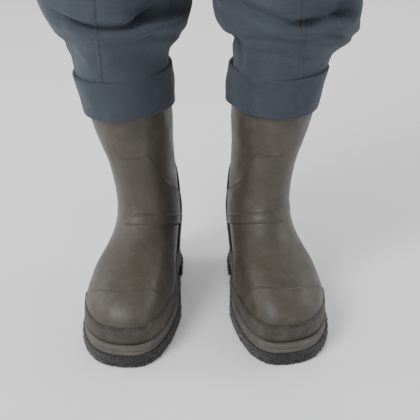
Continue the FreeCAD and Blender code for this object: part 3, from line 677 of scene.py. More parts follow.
RUBBER = rubber("boot_rubber", srgb(66, 61, 53), srgb(74, 69, 60), srgb(92, 86, 77), 0.43, 0.56)
# painted shade: near-black rubber for the heel cover, standing for the shade behind the ankle
HEEL_PAINTED_SHADE_RUBBER = rubber("dark_rubber", srgb(30, 29, 28), srgb(42, 40, 38), srgb(70, 67, 64), 0.45, 0.6)
BUMPER = knurled("bumper_rubber")
MIDSOLE = striated("midsole_rubber")
FELT_PAD = felted("felt")
INSOLE = felted("insole_foam")


# ---------------------------------------------------------------- the studio
CAMERA_AT = Vector((0.008, -1.0759, 0.60))
CAMERA_PITCH, CAMERA_ROLL, LENS = math.radians(24.0), math.radians(-1.0), 81.2


def make_camera():
    """A camera in front of the feet, looking down at them."""
    data = bpy.data.cameras.new("camera")
    data.lens = LENS
    data.sensor_width = 36
    data.clip_end = 50
    camera = bpy.data.objects.new("camera", data)
    camera.matrix_world = (Matrix.Translation(CAMERA_AT) @ Matrix.Rotation(math.pi / 2 - CAMERA_PITCH, 4, "X")
                           @ Matrix.Rotation(CAMERA_ROLL, 4, "Z"))
    bpy.context.scene.collection.objects.link(camera)
    bpy.context.scene.camera = camera


def area_light(name, at, towards, size, watts, colour=(1, 1, 1)):
    data = bpy.data.lights.new(name, "AREA")
    data.shape, data.size, data.energy, data.color = "DISK", size, watts, colour
    light = bpy.data.objects.new(name, data)
    light.location = at
    light.rotation_euler = (Vector(towards) - Vector(at)).to_track_quat("-Z", "Y").to_euler()
    bpy.context.scene.collection.objects.link(light)


def make_studio():
    """A pale floor and soft light from all round."""
    size, back = 14.0, 9.0
    corners = [(-size, -size, 0), (size, -size, 0), (size, back, 0), (-size, back, 0)]
    floor = bare_mesh("floor", corners, [(0, 1, 2, 3)])
    look = Look("floor", Specular_IOR_Level=0.15)
    tone = look.mix(look.noise(0.8, 2), (0.93, 0.93, 0.93, 1), (0.96, 0.96, 0.96, 1))
    floor.data.materials.append(look.finish(tone, 0.75))
    world = bpy.data.worlds.new("studio")
    world.use_nodes = True
    sky = world.node_tree.nodes["Background"]
    sky.inputs["Color"].default_value = (1.0, 1.0, 1.0, 1)
    sky.inputs["Strength"].default_value = 0.7
    bpy.context.scene.world = world
    area_light("key", (-1.5, -1.6, 2.4), (0, 0, 0.35), 1.2, 64)
    area_light("side_left", (-1.9, 0.6, 0.9), (0, 0, 0.25), 1.0, 9)
    area_light("side_right", (1.9, 0.5, 1.0), (0, 0, 0.3), 1.0, 9)
    area_light("behind", (0.3, 2.0, 1.8), (0, 0, 0.8), 1.2, 16)


def bare_mesh(name, verts, faces):
    """An object with no material, body or slot."""
    mesh = bpy.data.meshes.new(name)
    mesh.from_pydata(verts, [], faces)
    piece = bpy.data.objects.new(name, mesh)
    bpy.context.scene.collection.objects.link(piece)
    return piece


# ---------------------------------------------------------------- the legs' and bib's form, in millimetres
# One row per section of the left leg: height, middle x and y, half width, half depth, squareness.
LEG_ROWS = np.array([
    (262, 89.6, 9.6, 54.8, 77.0, 2.0),
    (290, 93.8, 9.8, 56.5, 79.0, 2.0),
    (306, 96.2, 9.8, 57.6, 80.3, 2.0),
    (320, 97.8, 9.0, 59.5, 81.5, 2.0),
    (334, 99.2, 8.0, 69.0, 87.0, 2.0),
    (350, 101.0, 6.0, 82.0, 94.0, 2.0),
    (370, 102.5, 4.5, 88.0, 98.0, 2.05),
    (400, 103.0, 2.5, 89.0, 98.0, 2.1),
    (440, 103.0, 1.0, 88.0, 97.0, 2.1),
    (490, 102.0, -1.0, 88.0, 97.0, 2.15),
    (545, 101.5, -1.5, 89.0, 99.5, 2.2),
    (605, 101.5, 1.0, 90.5, 106.0, 2.3),
    (665, 102.5, 3.5, 92.0, 114.0, 2.4),
    (730, 103.0, 5.0, 93.5, 121.5, 2.55),
    (795, 103.5, 5.0, 95.5, 129.0, 2.8),
    (860, 103.5, 5.0, 96.0, 130.0, 2.9),
])
TORSO_Y = 5.0
TORSO_ROWS = np.array([
    (797, 201, 135, 4.0),
    (870, 203, 137, 3.6),
    (935, 197, 133, 3.2),
    (1000, 190, 130, 3.0),
    (1064, 190, 130, 3.0),
    (1120, 192.5, 130, 3.0),
    (1185, 197, 130, 3.0),
    (1250, 202, 130, 3.0),
    (1335, 207, 130, 3.0),
])
CROTCH, BIB_FRONT, BIB_BACK = 800.0, 1270.0, 1190.0
LEG_END = 284.0  # the legs' lower ends, hidden inside the cuffs
BELT_Z, BELT_HALF = 1038.0, 25.0
VOXEL = 6.0 * MM


def superellipse(cx, cy, a, b, square, z, cols):
    """A level section from the front round, squarer than an ellipse where square is over 2."""
    t = np.linspace(0, 2 * math.pi, 721)
    c, s = np.cos(t - math.pi / 2), np.sin(t - math.pi / 2)
    x = cx + a * np.sign(c) * np.abs(c) ** (2 / square)
    y = cy + b * np.sign(s) * np.abs(s) ** (2 / square)
    return evenly(np.stack([x, y, 0 * t + z], -1)[None], cols)[0]


def tube(rows, cols, step=6.0):
    """A grid through section rows whose first column is the height."""
    heights = np.arange(rows[0, 0], rows[-1, 0], step)
    at = np.interp(heights, rows[:, 0], np.arange(len(rows)))
    read = spline(rows[:, 1:], at)
    if rows.shape[1] == 4:
        read = np.column_stack([0 * heights, 0 * heights + TORSO_Y, read])
    grid = np.stack([superellipse(*row, z, cols) for row, z in zip(read, heights)])
    return to_frame(grid)


def top_edge(y):
    """Height of the bib's top edge in millimetres at a depth in metres."""
    return BIB_BACK + (BIB_FRONT - BIB_BACK) * smooth((30 - (y - ORIGIN_Y) / MM) / 95)


RIM_START = 1100 * MM


def level_rim(points, back=False):
    """Stretches heights above RIM_START so that the curved top edge is level at BIB_FRONT, or undoes it."""
    points = points.copy()
    full = BIB_FRONT * MM - RIM_START
    now = top_edge(points[:, 1]) * MM - RIM_START
    share = now / full if back else full / now
    high = points[:, 2] > RIM_START
    points[high, 2] = RIM_START + (points[high, 2] - RIM_START) * share[high]
    return points


def read_points(mesh):
    flat = np.empty(len(mesh.vertices) * 3)
    mesh.vertices.foreach_get("co", flat)
    return flat.reshape(-1, 3)


def write_points(mesh, points):
    mesh.vertices.foreach_set("co", np.asarray(points, float).ravel())
    mesh.update()


def read_normals(mesh):
    flat = np.empty(len(mesh.vertices) * 3)
    mesh.vertex_normals.foreach_get("vector", flat)
    return flat.reshape(-1, 3)


SMOOTHING = 0.6  # how far a point goes towards its neighbours' middle in each round


def neighbours_mean(mesh, points, rounds):
    """Points smoothed by averaging each with its neighbours."""
    pairs = np.empty(len(mesh.edges) * 2, int)
    mesh.edges.foreach_get("vertices", pairs)
    a, b = pairs.reshape(-1, 2).T
    count = np.bincount(np.concatenate([a, b]), minlength=len(points))[:, None]
    for _ in range(rounds):
        total = np.zeros_like(points)
        for axis in range(3):
            total[:, axis] = (np.bincount(a, points[b, axis], len(points))
                              + np.bincount(b, points[a, axis], len(points)))
        mean = total / np.maximum(count, 1)
        points = points + (mean - points) * SMOOTHING
    return points


def applied(piece):
    """The piece's mesh with its modifiers worked in and removed."""
    bpy.context.view_layer.update()
    graph = bpy.context.evaluated_depsgraph_get()
    mesh = bpy.data.meshes.new_from_object(piece.evaluated_get(graph))
    piece.modifiers.clear()
    piece.data = mesh
    mesh.polygons.foreach_set("use_smooth", [True] * len(mesh.polygons))
    return mesh


def joined_form():
    """Legs and bib fused into one closed skin of even small quads."""
    verts, faces = [], []
    for grid, side in ((tube(LEG_ROWS, 90), 1), (tube(LEG_ROWS, 90), -1), (tube(TORSO_ROWS, 160), 1)):
        rows, cols, _ = grid.shape
        start = sum(len(v) for v in verts)
        loop = [list(range(cols))[::-1], list(range((rows - 1) * cols, rows * cols))]
        quads = grid_faces(rows, cols, True).tolist() + loop
        faces += [[start + i for i in (f if side > 0 else f[::-1])] for f in quads]
        verts.append(grid.reshape(-1, 3) * (side, 1, 1))
    piece = bare_mesh("garment", np.concatenate(verts).tolist(), faces)
    remesh = piece.modifiers.new("even", "REMESH")
    remesh.mode, remesh.voxel_size = "VOXEL", VOXEL
    mesh = applied(piece)
    write_points(mesh, neighbours_mean(mesh, read_points(mesh), 6))
    return piece


def cut(piece, at, normal):
    """Cuts the piece's mesh by a plane and drops what lies on the normal's side."""
    work = bmesh.new()
    work.from_mesh(piece.data)
    everything = work.verts[:] + work.edges[:] + work.faces[:]
    bmesh.ops.bisect_plane(work, geom=everything, plane_co=at, plane_no=normal, clear_outer=True, dist=1e-6)
    work.to_mesh(piece.data)
    work.free()


HELD_BELOW = 440  # millimetres: the boots and cuffs hold the cloth up to here
HOLD_LEVELS = 10


def fabric_hold(points):
    """How firmly the wearer's boots, belt, rim and straps hold the cloth: 1 held, 0 free."""
    z = points[:, 2] / MM
    low = smooth((HELD_BELOW - z) / 50)
    belt = smooth(1.6 - np.abs(z - BELT_Z) / BELT_HALF)
    rim = smooth((z - top_edge(points[:, 1]) + 60) / 45)
    pouch = smooth((108 - np.abs(points[:, 0] / MM)) / 16) * smooth((z - 1055) / 20) * (points[:, 1] < 0)
    brace = smooth((34 - np.abs(points[:, 0] / MM)) / 12) * smooth((z - 1125) / 20) * (points[:, 1] > 0)
    return np.clip(np.maximum.reduce([low, belt, rim, pouch, brace]), 0, 1)


def drape(piece, frames=22, growth=0.07, cap=13 * MM):
    """Lets the cloth grow a little against what holds it, so that it buckles into soft folds."""
    mesh = piece.data
    rest = read_points(mesh)
    hold = fabric_hold(rest)
    group = piece.vertex_groups.new(name="held")
    for level in range(1, HOLD_LEVELS + 1):
        inside = np.flatnonzero(np.round(hold * HOLD_LEVELS) == level)
        group.add(inside.tolist(), level / HOLD_LEVELS, "REPLACE")
    cloth = piece.modifiers.new("cloth", "CLOTH")
    settings = cloth.settings
    settings.quality = 4
    settings.mass = 0.25
    settings.tension_stiffness = settings.compression_stiffness = 18
    settings.shear_stiffness = 8
    settings.bending_stiffness = 1.4
    settings.shrink_min = -growth
    settings.use_pressure = True
    settings.uniform_pressure_force = 0.6
    settings.vertex_group_mass = "held"
    settings.effector_weights.gravity = 0.35
    cloth.collision_settings.use_collision = False
    scene = bpy.context.scene
    cloth.point_cache.frame_end = frames
    for frame_number in range(1, frames + 1):
        scene.frame_set(frame_number)
    moved = read_points(applied(piece))
    scene.frame_set(1)
    piece.vertex_groups.clear()
    step = moved - rest
    size = np.linalg.norm(step, axis=1, keepdims=True)
    write_points(piece.data, rest + step * np.tanh(size / cap) * cap / np.maximum(size, 1e-9))


# ---------------------------------------------------------------- folds pressed into the legs
class Leg:
    """Cylindrical places on one leg: the angle from the front (degrees, outwards positive) and the height."""

    def __init__(self, points, side):
        x, y, self.z = points[:, 0] * side / MM, (points[:, 1] - ORIGIN_Y) / MM, points[:, 2] / MM
        at = np.interp(self.z, LEG_ROWS[:, 0], np.arange(len(LEG_ROWS)))
        cx, cy = spline(LEG_ROWS[:, 1:3], at).T
        self.turn = np.degrees(np.arctan2(x - cx, -(y - cy)))
        reach = np.maximum(np.hypot(x - cx, y - cy), 1)
        self.out = np.stack([side * (x - cx) / reach, (y - cy) / reach, 0 * reach], -1)
        self.mine = smooth((x + 2) / 4) * smooth((CROTCH + 30 - self.z) / 90)

    def window(self, middle, half, soft=25):
        """1 within half degrees of the middle angle, fading to 0 over soft degrees."""
        away = np.abs((self.turn - middle + 180) % 360 - 180)
        return smooth((half - away) / soft + 1)

    def crease(self, height, depth, width, middle, half, slope=0.0, lip=0.35, bow=0.0):
        """A groove across the leg, softly lipped on both sides; slope and bow in millimetres per radian."""
        turn = np.radians((self.turn - middle + 180) % 360 - 180)
        away = (self.z - height - slope * turn - bow * (1 - np.cos(turn))) / width
        groove = -np.exp(-away**2) + lip * (np.exp(-(away - 1.9)**2) + 0.8 * np.exp(-(away + 1.9)**2))
        return depth * groove * self.window(middle, half) * self.mine

    def hollow(self, height, depth, tall, middle, half):
        """A broad dent (or a swelling, with a negative depth)."""
        return -depth * np.exp(-((self.z - height) / tall) ** 2) * self.window(middle, half, 40) * self.mine

    def tuck(self, height, depth, rise, middle, half, slope=0.0):
        """Cloth that hangs over a roll: pulled in sharply at a height and coming out again as it rises."""
        turn = np.radians((self.turn - middle + 180) % 360 - 180)
        up = self.z - height - slope * turn
        return -depth * smooth((up + 5) / 8) * smooth(1 - up / rise) * self.window(middle, half) * self.mine


def right_leg_folds(leg):
    """Over the right boot: one short smiling crease, and cloth tucked in deep on the inner side above it."""
    return (leg.crease(363, 8, 4.5, -4, 26, bow=50, lip=0.5) + leg.tuck(364, 7, 60, -5, 35)
            + leg.tuck(366, 24, 62, -52, 16) + leg.hollow(352, 9, 34, 92, 50)
            + leg.hollow(372, -7, 22, -95, 30) + leg.hollow(337, -7, 14, -92, 30)
            + leg.crease(341, 2.2, 5, 38, 26, slope=-10) + leg.crease(345, 2.2, 5, -60, 22, slope=14))


def left_leg_folds(leg):
    """Over the left boot: a long fold slanting down from the inner side to the outer, and a tuck there."""
    return (leg.crease(375, 7, 6.5, -16, 36, slope=-28, lip=0.55) + leg.tuck(365, 24, 48, 30, 12)
            + leg.crease(363, 6, 4, 28, 14, slope=4, bow=30) + leg.crease(349, 3, 4.5, 0, 60, bow=-19)
            + leg.hollow(337, -12, 15, 92, 45) + leg.hollow(402, 8, 20, 92, 45)
            + leg.hollow(333, 8, 10, -92, 35) + leg.crease(331, 1.4, 4, -20, 45, slope=-8))


# Each fold's height, depth, width, middle angle, half its reach in degrees, and slope.
KNEE_FOLDS = (
    (452, 7, 10, 150, 75, 18), (486, 8, 11, 190, 70, -20), (520, 9, 12, 165, 70, 12),
    (556, 7, 12, 200, 65, -18), (430, 5, 9, 95, 45, -22), (600, 5, 13, 140, 55, 26),
    (640, 4, 13, 215, 50, -24), (408, 5, 8, -120, 45, 14), (470, 3.5, 9, -70, 30, 20),
    (585, 3.5, 12, 60, 35, -30), (395, 4, 8, 175, 60, 8),
)


def knee_folds(leg, turn):
    """The bunching behind and beside the knee and down the calf, differing a little from leg to leg."""
    total = 0
    for k, (height, depth, width, middle, half, slope) in enumerate(KNEE_FOLDS):
        shift = 7 * math.sin(2.3 * k + turn)
        total = total + leg.crease(height + shift, depth, width, middle + 2 * shift, half, slope)
    return total


SEAT_MIDDLE = CROTCH - 10
SEAT_FOLDS = ((22, 5), (42, 6), (63, 4.5), (80, 3))  # each line's angle above the level, and its depth


def seat_folds(points):
    """Drag lines that fan from the crotch over the thighs and across the seat."""
    x, y, z = points[:, 0] / MM, (points[:, 1] - ORIGIN_Y) / MM, points[:, 2] / MM
    total = np.zeros(len(points))
    for k, (angle, depth) in enumerate(SEAT_FOLDS):
        a = math.radians(angle)
        for side, front in ((1, -1), (-1, -1), (1, 1), (-1, 1)):
            u = side * x * math.cos(a) + (z - SEAT_MIDDLE) * math.sin(a)
            v = -side * x * math.sin(a) + (z - SEAT_MIDDLE) * math.cos(a) + 4 * math.sin(k + side)
            reach = smooth((u - 18) / 30) * smooth((150 - u) / 70)
            half = smooth((front * (y - TORSO_Y)) / 40)
            total -= depth * np.exp(-(v / 9) ** 2) * reach * half
    return total


def press_folds(piece):
    """Folds over the boots and at the knees, pressed out from each leg's axis, and soft ones all over."""
    mesh = piece.data
    points, out = read_points(mesh), read_normals(mesh)
    z = points[:, 2] / MM
    right, left = Leg(points, -1), Leg(points, 1)
    right_lift = right_leg_folds(right) + knee_folds(right, 0.4)
    left_lift = left_leg_folds(left) + knee_folds(left, 2.1)
    lift = seat_folds(points) * smooth((z - 640) / 60)
    free = 1 - fabric_hold(points)
    shirt = smooth((z - 830) / 60) * free
    lift += 3.2 * wander(points * (1, 1, 1.9), 0.12, 8) * shirt
    lift += 1.6 * wander(points * (1, 1, 1.3), 0.075, 9) * smooth((z - 330) / 60) * (0.3 + 0.7 * free)
    lift += 1.5 * wander(points * (1, 1, 0.3), 0.028, 12) * hill((z - 322) / 30)
    sideways = right.out * right_lift[:, None] + left.out * left_lift[:, None]
    write_points(mesh, points + (out * lift[:, None] + sideways) * MM)


# ---------------------------------------------------------------- fabrics
NAVY_DARK, NAVY, NAVY_PALE = srgb(60, 66, 74), srgb(72, 78, 87), srgb(92, 98, 107)


def knit(name, dark, mid, pale, sheen=0.35):
    """Neoprene's fine knit face: tiny ribs, soft fading in blotches and a matte sheen."""
    look = Look(name, Specular_IOR_Level=0.2, Sheen_Weight=sheen, Sheen_Roughness=0.45)
    look.shader.inputs["Sheen Tint"].default_value = srgb(150, 160, 170)
    x, y, z = look.split(look.place)
    wobble = look.times(look.noise(0.004, 2), 0.0008)
    rows = look.wave(look.plus(z, wobble), 0.0016)
    columns = look.wave(look.plus(look.plus(x, y), wobble), 0.0013)
    stitches = look.times(rows, look.math("MULTIPLY_ADD", columns, 0.6, 0.4))
    blotch = look.noise(0.07, 5, 0.6)
    colour = look.mix(look.band(blotch, 0.3, 0.7), dark, mid)
    colour = look.patchy(colour, pale, 0.5, look.noise(0.03, 6, 0.7), 0.5, 0.8)
    colour = look.mix(look.times(look.math("SUBTRACT", 1.0, stitches), 0.45), colour, dark)
    colour = look.patchy(colour, pale, 0.35, look.noise(0.0011, 2, 0.5), 0.58, 0.7)
    look.bumps((look.noise(0.012, 4), 0.0007), (stitches, 0.00035))
    return look.finish(colour, look.band(blotch, 0.3, 0.7, 0.78, 0.92))


def weave(name, dark, mid, pitch, depth, twill=0.0, sheen=0.15, uv=False, rough=0.8):
    """Over-and-under weave at the given pitch in metres; twill slants it."""
    look = Look(name, Specular_IOR_Level=0.25, Sheen_Weight=sheen, Sheen_Roughness=0.5)
    x, y, z = look.split(look.uv() if uv else look.place)
    across = x if uv else look.plus(x, y)
    along = y if uv else z
    slanted = look.plus(along, look.times(across, twill))
    warp = look.wave(across, pitch)
    weft = look.wave(slanted, pitch)
    over = look.math("GREATER_THAN", look.wave(look.plus(across, slanted), 2 * pitch), 0.5)
    thread = look.plus(look.times(over, warp),
                       look.times(look.math("SUBTRACT", 1.0, over), weft))
    colour = look.mix(look.band(thread, 0.1, 0.9), dark, mid)
    colour = look.patchy(colour, brighter(mid, 1.9), 0.4, look.noise(0.03, 5, 0.7), 0.45, 0.8)
    look.bumps((look.noise(0.02, 3), 0.0004), (thread, depth))
    return look.finish(colour, look.band(look.noise(0.02, 3), 0.3, 0.7, rough - 0.06, rough + 0.08))


def ribbed(name, dark, mid, pitch, depth):
    """Webbing and binding: cords running lengthwise with a fine crosswise weave."""
    look = Look(name, Specular_IOR_Level=0.3, Sheen_Weight=0.2, Sheen_Roughness=0.4)
    around, along, _ = look.split(look.uv())
    cords = look.wave(around, pitch, 0.7)
    picks = look.wave(look.plus(along, look.times(around, 0.5)), pitch * 0.45)
    thread = look.times(cords, look.math("MULTIPLY_ADD", picks, 0.5, 0.5))
    colour = look.mix(look.band(thread, 0.05, 0.8), dark, mid)
    colour = look.patchy(colour, brighter(mid, 2.4), 0.35, look.noise(0.012, 6, 0.75), 0.5, 0.8)
    look.bumps((look.noise(0.01, 3), 0.0003), (thread, depth))
    return look.finish(colour, look.band(look.noise(0.015, 4), 0.3, 0.7, 0.6, 0.82))


def moulded(name, dark, pale, rough=0.42):
    """Injection-moulded plastic: spark-eroded grain, and paler along its edges, partly rub wear and partly a
    painted highlight standing for their rubbed shine.
    """
    look = Look(name, Specular_IOR_Level=0.5)
    edge_wear_and_highlight = look.times(look.edges(0.0012), look.band(look.noise(0.006, 4), 0.35, 0.65))
    colour = look.mix(look.band(look.noise(0.01, 4), 0.3, 0.7), dark, brighter(dark, 1.35))
    # wear and painted highlight: the edges are coloured paler
    colour = look.mix(look.times(edge_wear_and_highlight, 0.7), colour, pale)
    grain = look.noise(0.0005, 2, 0.6)
    look.bumps((grain, 0.00006), (look.noise(0.004, 2), 0.00008))
    return look.finish(colour, look.band(look.noise(0.008, 4), 0.3, 0.7, rough - 0.07, rough + 0.1))


def metal(name, dark, pale, rough=0.3, stretch=(40, 40, 400)):
    """Plated metal with fine drawing lines, dulled in patches."""
    look = Look(name, Metallic=1.0)
    lines = look.noise(1.0, 3, 0.6, look.scaled(look.place, stretch))
    dull = look.band(look.noise(0.005, 5, 0.7), 0.4, 0.7)
    colour = look.mix(dull, pale, dark)
    look.bumps((lines, 0.00003), (look.noise(0.002, 3), 0.00005))
    return look.finish(colour, look.band(dull, 0, 1, rough, rough + 0.25))


KNIT = knit("neoprene", NAVY_DARK, NAVY, NAVY_PALE)
CUFF_KNIT = knit("cuff_neoprene", srgb(56, 62, 70), srgb(68, 74, 83), srgb(88, 94, 103))
PATCH = weave("patch_fabric", srgb(37, 42, 48), srgb(48, 54, 61), 0.0030, 0.0004)
SEAM_TAPE = weave("seam_tape", srgb(50, 56, 64), srgb(66, 73, 82), 0.0014, 0.0003)
BINDING = ribbed("binding", srgb(20, 23, 27), srgb(42, 46, 52), 0.0024, 0.0004)
WEBBING = ribbed("webbing", srgb(20, 22, 26), srgb(46, 50, 56), 0.0030, 0.0006)
THREAD = ribbed("thread", srgb(70, 76, 84), srgb(120, 128, 138), 0.0009, 0.0001)
PLASTIC = moulded("buckle_plastic", srgb(24, 26, 29), srgb(84, 87, 92))
ZIP_PLASTIC = moulded("zip_plastic", srgb(20, 22, 25), srgb(70, 73, 78), 0.38)
ZIP_METAL = metal("zip_metal", srgb(84, 86, 90), srgb(140, 142, 146))
RING_METAL = metal("ring_metal", srgb(120, 122, 126), srgb(176, 178, 182), 0.22)
STEEL = metal("steel", srgb(110, 110, 112), srgb(160, 160, 162), 0.35)


# ---------------------------------------------------------------- the sewn skin
class Skin:
    """The garment's outer face, kept whole so that panels and seams can be peeled off it."""

    def __init__(self):
        self.piece = joined_form()
        drape(self.piece)
        self.piece.modifiers.new("finer", "SUBSURF").levels = 1
        applied(self.piece)
        press_folds(self.piece)

    def peel(self, name, planes, lift, thick, material, level=False, bevel=0.0):
        """A copy of the skin inside the planes, moved out by lift and with a wall of thick metres inwards."""
        mesh = self.piece.data.copy()
        points = read_points(mesh) + read_normals(mesh) * lift
        write_points(mesh, level_rim(points) if level else points)
        piece = bpy.data.objects.new(name, mesh)
        bpy.context.scene.collection.objects.link(piece)
        for at, normal in planes:
            cut(piece, at, normal)
        points = read_points(piece.data)
        if level:
            points = level_rim(points, back=True)
        write_points(piece.data, points)
        write_uv(piece.data, points)
        piece.data.materials.clear()
        piece.data.materials.append(material)
        walled(piece, thick)
        if bevel:
            rounded(piece, bevel)
        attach(piece, "waders")
        return piece

    def seam(self, name, planes):
        """A thin flat tape over a join between panels."""
        self.peel(name, planes, 0.6 * MM, 1.4 * MM, SEAM_TAPE, bevel=0.5 * MM)


UV_RADIUS = 0.17  # about the body's radius, so that the angle round it becomes a distance


def write_uv(mesh, points):
    """Height, and distance round the body, in metres, as a pair per point."""
    around = np.arctan2(points[:, 0], -points[:, 1]) * UV_RADIUS
    layer = mesh.uv_layers.new(name="cloth")
    index = np.empty(len(mesh.loops), int)
    mesh.loops.foreach_get("vertex_index", index)
    layer.data.foreach_set("uv", np.stack([points[:, 2], around], -1)[index].ravel())


def rounded(piece, width):
    """Softens the piece's sharp edges."""
    bevel = piece.modifiers.new("edges", "BEVEL")
    bevel.width, bevel.segments = width, 2
    bevel.limit_method, bevel.angle_limit = "ANGLE", math.radians(40)
    return piece


def slab(axis, low, high):
    """Two planes that keep what lies between two places along an axis, in millimetres."""
    n = Vector((axis == "x", axis == "y", axis == "z"))
    return [(n * high * MM, n), (n * low * MM, -n)]


def side_slab(side, inner, outer):
    """Planes that keep what lies between two distances from the middle, on one side."""
    return slab("x", *sorted((side * inner, side * outer)))


def window(x0, x1, z0, z1, radius):
    """Planes that keep an upright rectangle with rounded corners, in millimetres."""
    planes = slab("x", x0, x1) + slab("z", z0, z1)
    for sx, cx in ((1, x1 - radius), (-1, x0 + radius)):
        for sz, cz in ((1, z1 - radius), (-1, z0 + radius)):
            for angle in (15, 30, 45, 60, 75):
                n = Vector((sx * math.cos(math.radians(angle)), 0, sz * math.sin(math.radians(angle))))
                planes.append(((Vector((cx, 0, cz)) + n * radius) * MM, n))
    return planes


def make_garment():
    """The legs and bib, the binding, the knee patches and the seams."""
    skin = Skin()
    rim = [(Vector((0, 0, BIB_FRONT * MM)), Vector((0, 0, 1)))]
    low = [(Vector((0, 0, LEG_END * MM)), Vector((0, 0, -1)))]
    garment = skin.peel("legs_and_bib", rim + low, 0, 4 * MM, KNIT, level=True)
    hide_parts("left_leg", "right_leg", "bib_front", "bib_back", "crotch_gusset")
    hem = slab("z", BIB_FRONT - 22, BIB_FRONT + 1.6)
    binding = skin.peel("top_binding", hem, 1.5 * MM, 7.0 * MM, BINDING, level=True,
                        bevel=1.5 * MM)
    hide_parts("top_hem")

    front, back = slab("y", -400, 12), slab("y", 40, 400)
    for name, side in SIDES.items():
        x0, x1 = sorted((side * 20, side * 190))
        planes = window(x0, x1, 425, 565, 22) + slab("y", -400, -34)
        patch = skin.peel(f"{name}_knee_patch", planes, 1.9 * MM, 2.6 * MM, PATCH,
                          bevel=0.7 * MM)
        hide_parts("knee_patches")
        front_line = side_slab(side, 110.8, 113.9) + slab("z", LEG_END + 2, 840) + front
        skin.seam(f"{name}_leg_front_seam", front_line)
        back_line = side_slab(side, 99.7, 104.3) + slab("z", LEG_END + 2, 868) + back
        skin.seam(f"{name}_leg_back_seam", back_line)
        side_line = slab("y", 26.8, 31.4) + slab("z", 868, 1166) + side_slab(side, 150, 260)
        skin.seam(f"{name}_side_seam", side_line)
    skin.seam("hip_seam", slab("z", 866, 870.6))
    skin.seam("back_centre_seam", slab("x", -2.3, 2.3) + slab("z", 868, 1010) + back)
    bpy.data.objects.remove(skin.piece)


# ---------------------------------------------------------------- cuffs
def make_cuff(name, side):
    """The leg's end turned up over the boot: a wavy band with a rounded fold at its lower edge."""
    heights = np.linspace(CUFF_LOW, CUFF_HIGH, 22 * FINE)
    at = np.interp(heights, BOOT_ROWS[:, 1], np.arange(len(BOOT_ROWS)))
    foot = boot_section(spline(BOOT_ROWS, at), 120 * FINE)
    grid = placed(foot)
    out = normals(grid)
    turn = np.arctan2(foot[..., 0], -foot[..., 1])
    share = ((heights - CUFF_LOW) / (CUFF_HIGH - CUFF_LOW))[:, None]
    phase = 0.7 if side > 0 else 2.6
    wave = 0.9 * np.sin(2 * turn + phase) + 0.8 * np.sin(3 * turn + 2.1 * phase)
    wave = wave + 0.5 * np.sin(5 * turn - phase)
    creases = 1.5 * wander(foot * (1, 1, 0.5), 36.0, 40 + side) * hill(share * 2 - 0.9)
    lift = 6.2 + 1.6 * share + wave * (1.1 - 0.8 * share) + creases
    grid = grid + out * (lift * MM)[..., None]
    grid[..., 2] += (1.6 * np.sin(turn + phase) + 0.9 * np.sin(3 * turn - phase)) * MM
    inner = grid - out * 7.4 * MM
    low_bend = ((0.4, 1.3), (1.7, 2.4), (3.7, 2.9), (5.7, 2.4))
    high_bend = ((0.5, 0.9), (1.9, 1.4), (3.3, 0.9))
    fold_low = [grid[0] - out[0] * d * MM - (0, 0, h * MM) for d, h in low_bend]
    fold_high = [grid[-1] - out[-1] * d * MM + (0, 0, h * MM) for d, h in high_bend]
    lip = grid[-1] - out[-1] * 3.6 * MM
    inside = [lip, lip - (0, 0, 9 * MM), inner[0] + (0, 0, 2 * MM)]
    rows = [inner[0]] + fold_low[::-1] + list(grid) + fold_high + inside
    grid_piece(f"{name}_turned_cuff", np.stack(rows), side=side, material=CUFF_KNIT, slot="cuff_neoprene",
               replaces=(f"{name}_cuff",))


# ---------------------------------------------------------------- webbing
WEB, WEB_T, BELT, BELT_T = 38.0, 2.4, 50.0, 2.5
BRACE_FOOT, YOKE, BUCKLE_Z, STRETCH_TOP = (102.0, -131.5), (22.0, 120.0), 1274.0, 1412.0
BRACE_LINE = [(0, STRETCH_TOP + 0.2), (0, 1440), (56, 1494), (150, 1494), (228, 1400), (252, 1302)]
BRACE_BENDS = [55, 55, 65, 60]
BRACE_TURN = math.atan2(BRACE_FOOT[0] - YOKE[0], YOKE[1] - BRACE_FOOT[1])
WAIST = (190.0, 130.0, 3.0)
BUCKLE_AT = (24.0, TORSO_Y - WAIST[1] - 8.0)  # the belt buckle's x and y


def fillet(points, radii, step=2.5):
    """Points along straight runs joined by arcs, in a plane, in millimetres."""
    points = [np.array(p, float) for p in points]
    path = [points[0]]
    for k, radius in enumerate(radii, 1):
        a = (points[k] - points[k - 1]) / np.linalg.norm(points[k] - points[k - 1])
        b = (points[k + 1] - points[k]) / np.linalg.norm(points[k + 1] - points[k])
        turn = math.acos(np.clip(a @ b, -1, 1))
        reach = radius * math.tan(turn / 2)
        start, inward = points[k] - a * reach, (b - a) / np.linalg.norm(b - a)
        centre = points[k] + inward * radius / math.cos(turn / 2)
        spin = np.sign(a[0] * b[1] - a[1] * b[0])
        for share in np.linspace(0, 1, max(4, int(radius * turn / step))):
            c, s = math.cos(turn * share), math.sin(turn * share) * spin
            arm = start - centre
            path.append(centre + (arm[0] * c - arm[1] * s, arm[0] * s + arm[1] * c))
    path.append(points[-1])
    return np.array(path)


def resampled(path, step):
    """The path with its points evenly spaced, about step apart."""
    gaps = np.concatenate([[0], np.cumsum(np.linalg.norm(np.diff(path, axis=0), axis=1))])
    goals = np.linspace(0, gaps[-1], max(3, int(gaps[-1] / step) + 1))
    return np.stack([np.interp(goals, gaps, path[:, k]) for k in range(path.shape[1])], -1)


def outward(piece):
    """Turns every face of a closed piece to look out."""
    work = bmesh.new()
    work.from_mesh(piece.data)
    bmesh.ops.recalc_face_normals(work, faces=work.faces[:])
    work.to_mesh(piece.data)
    work.free()
    return piece


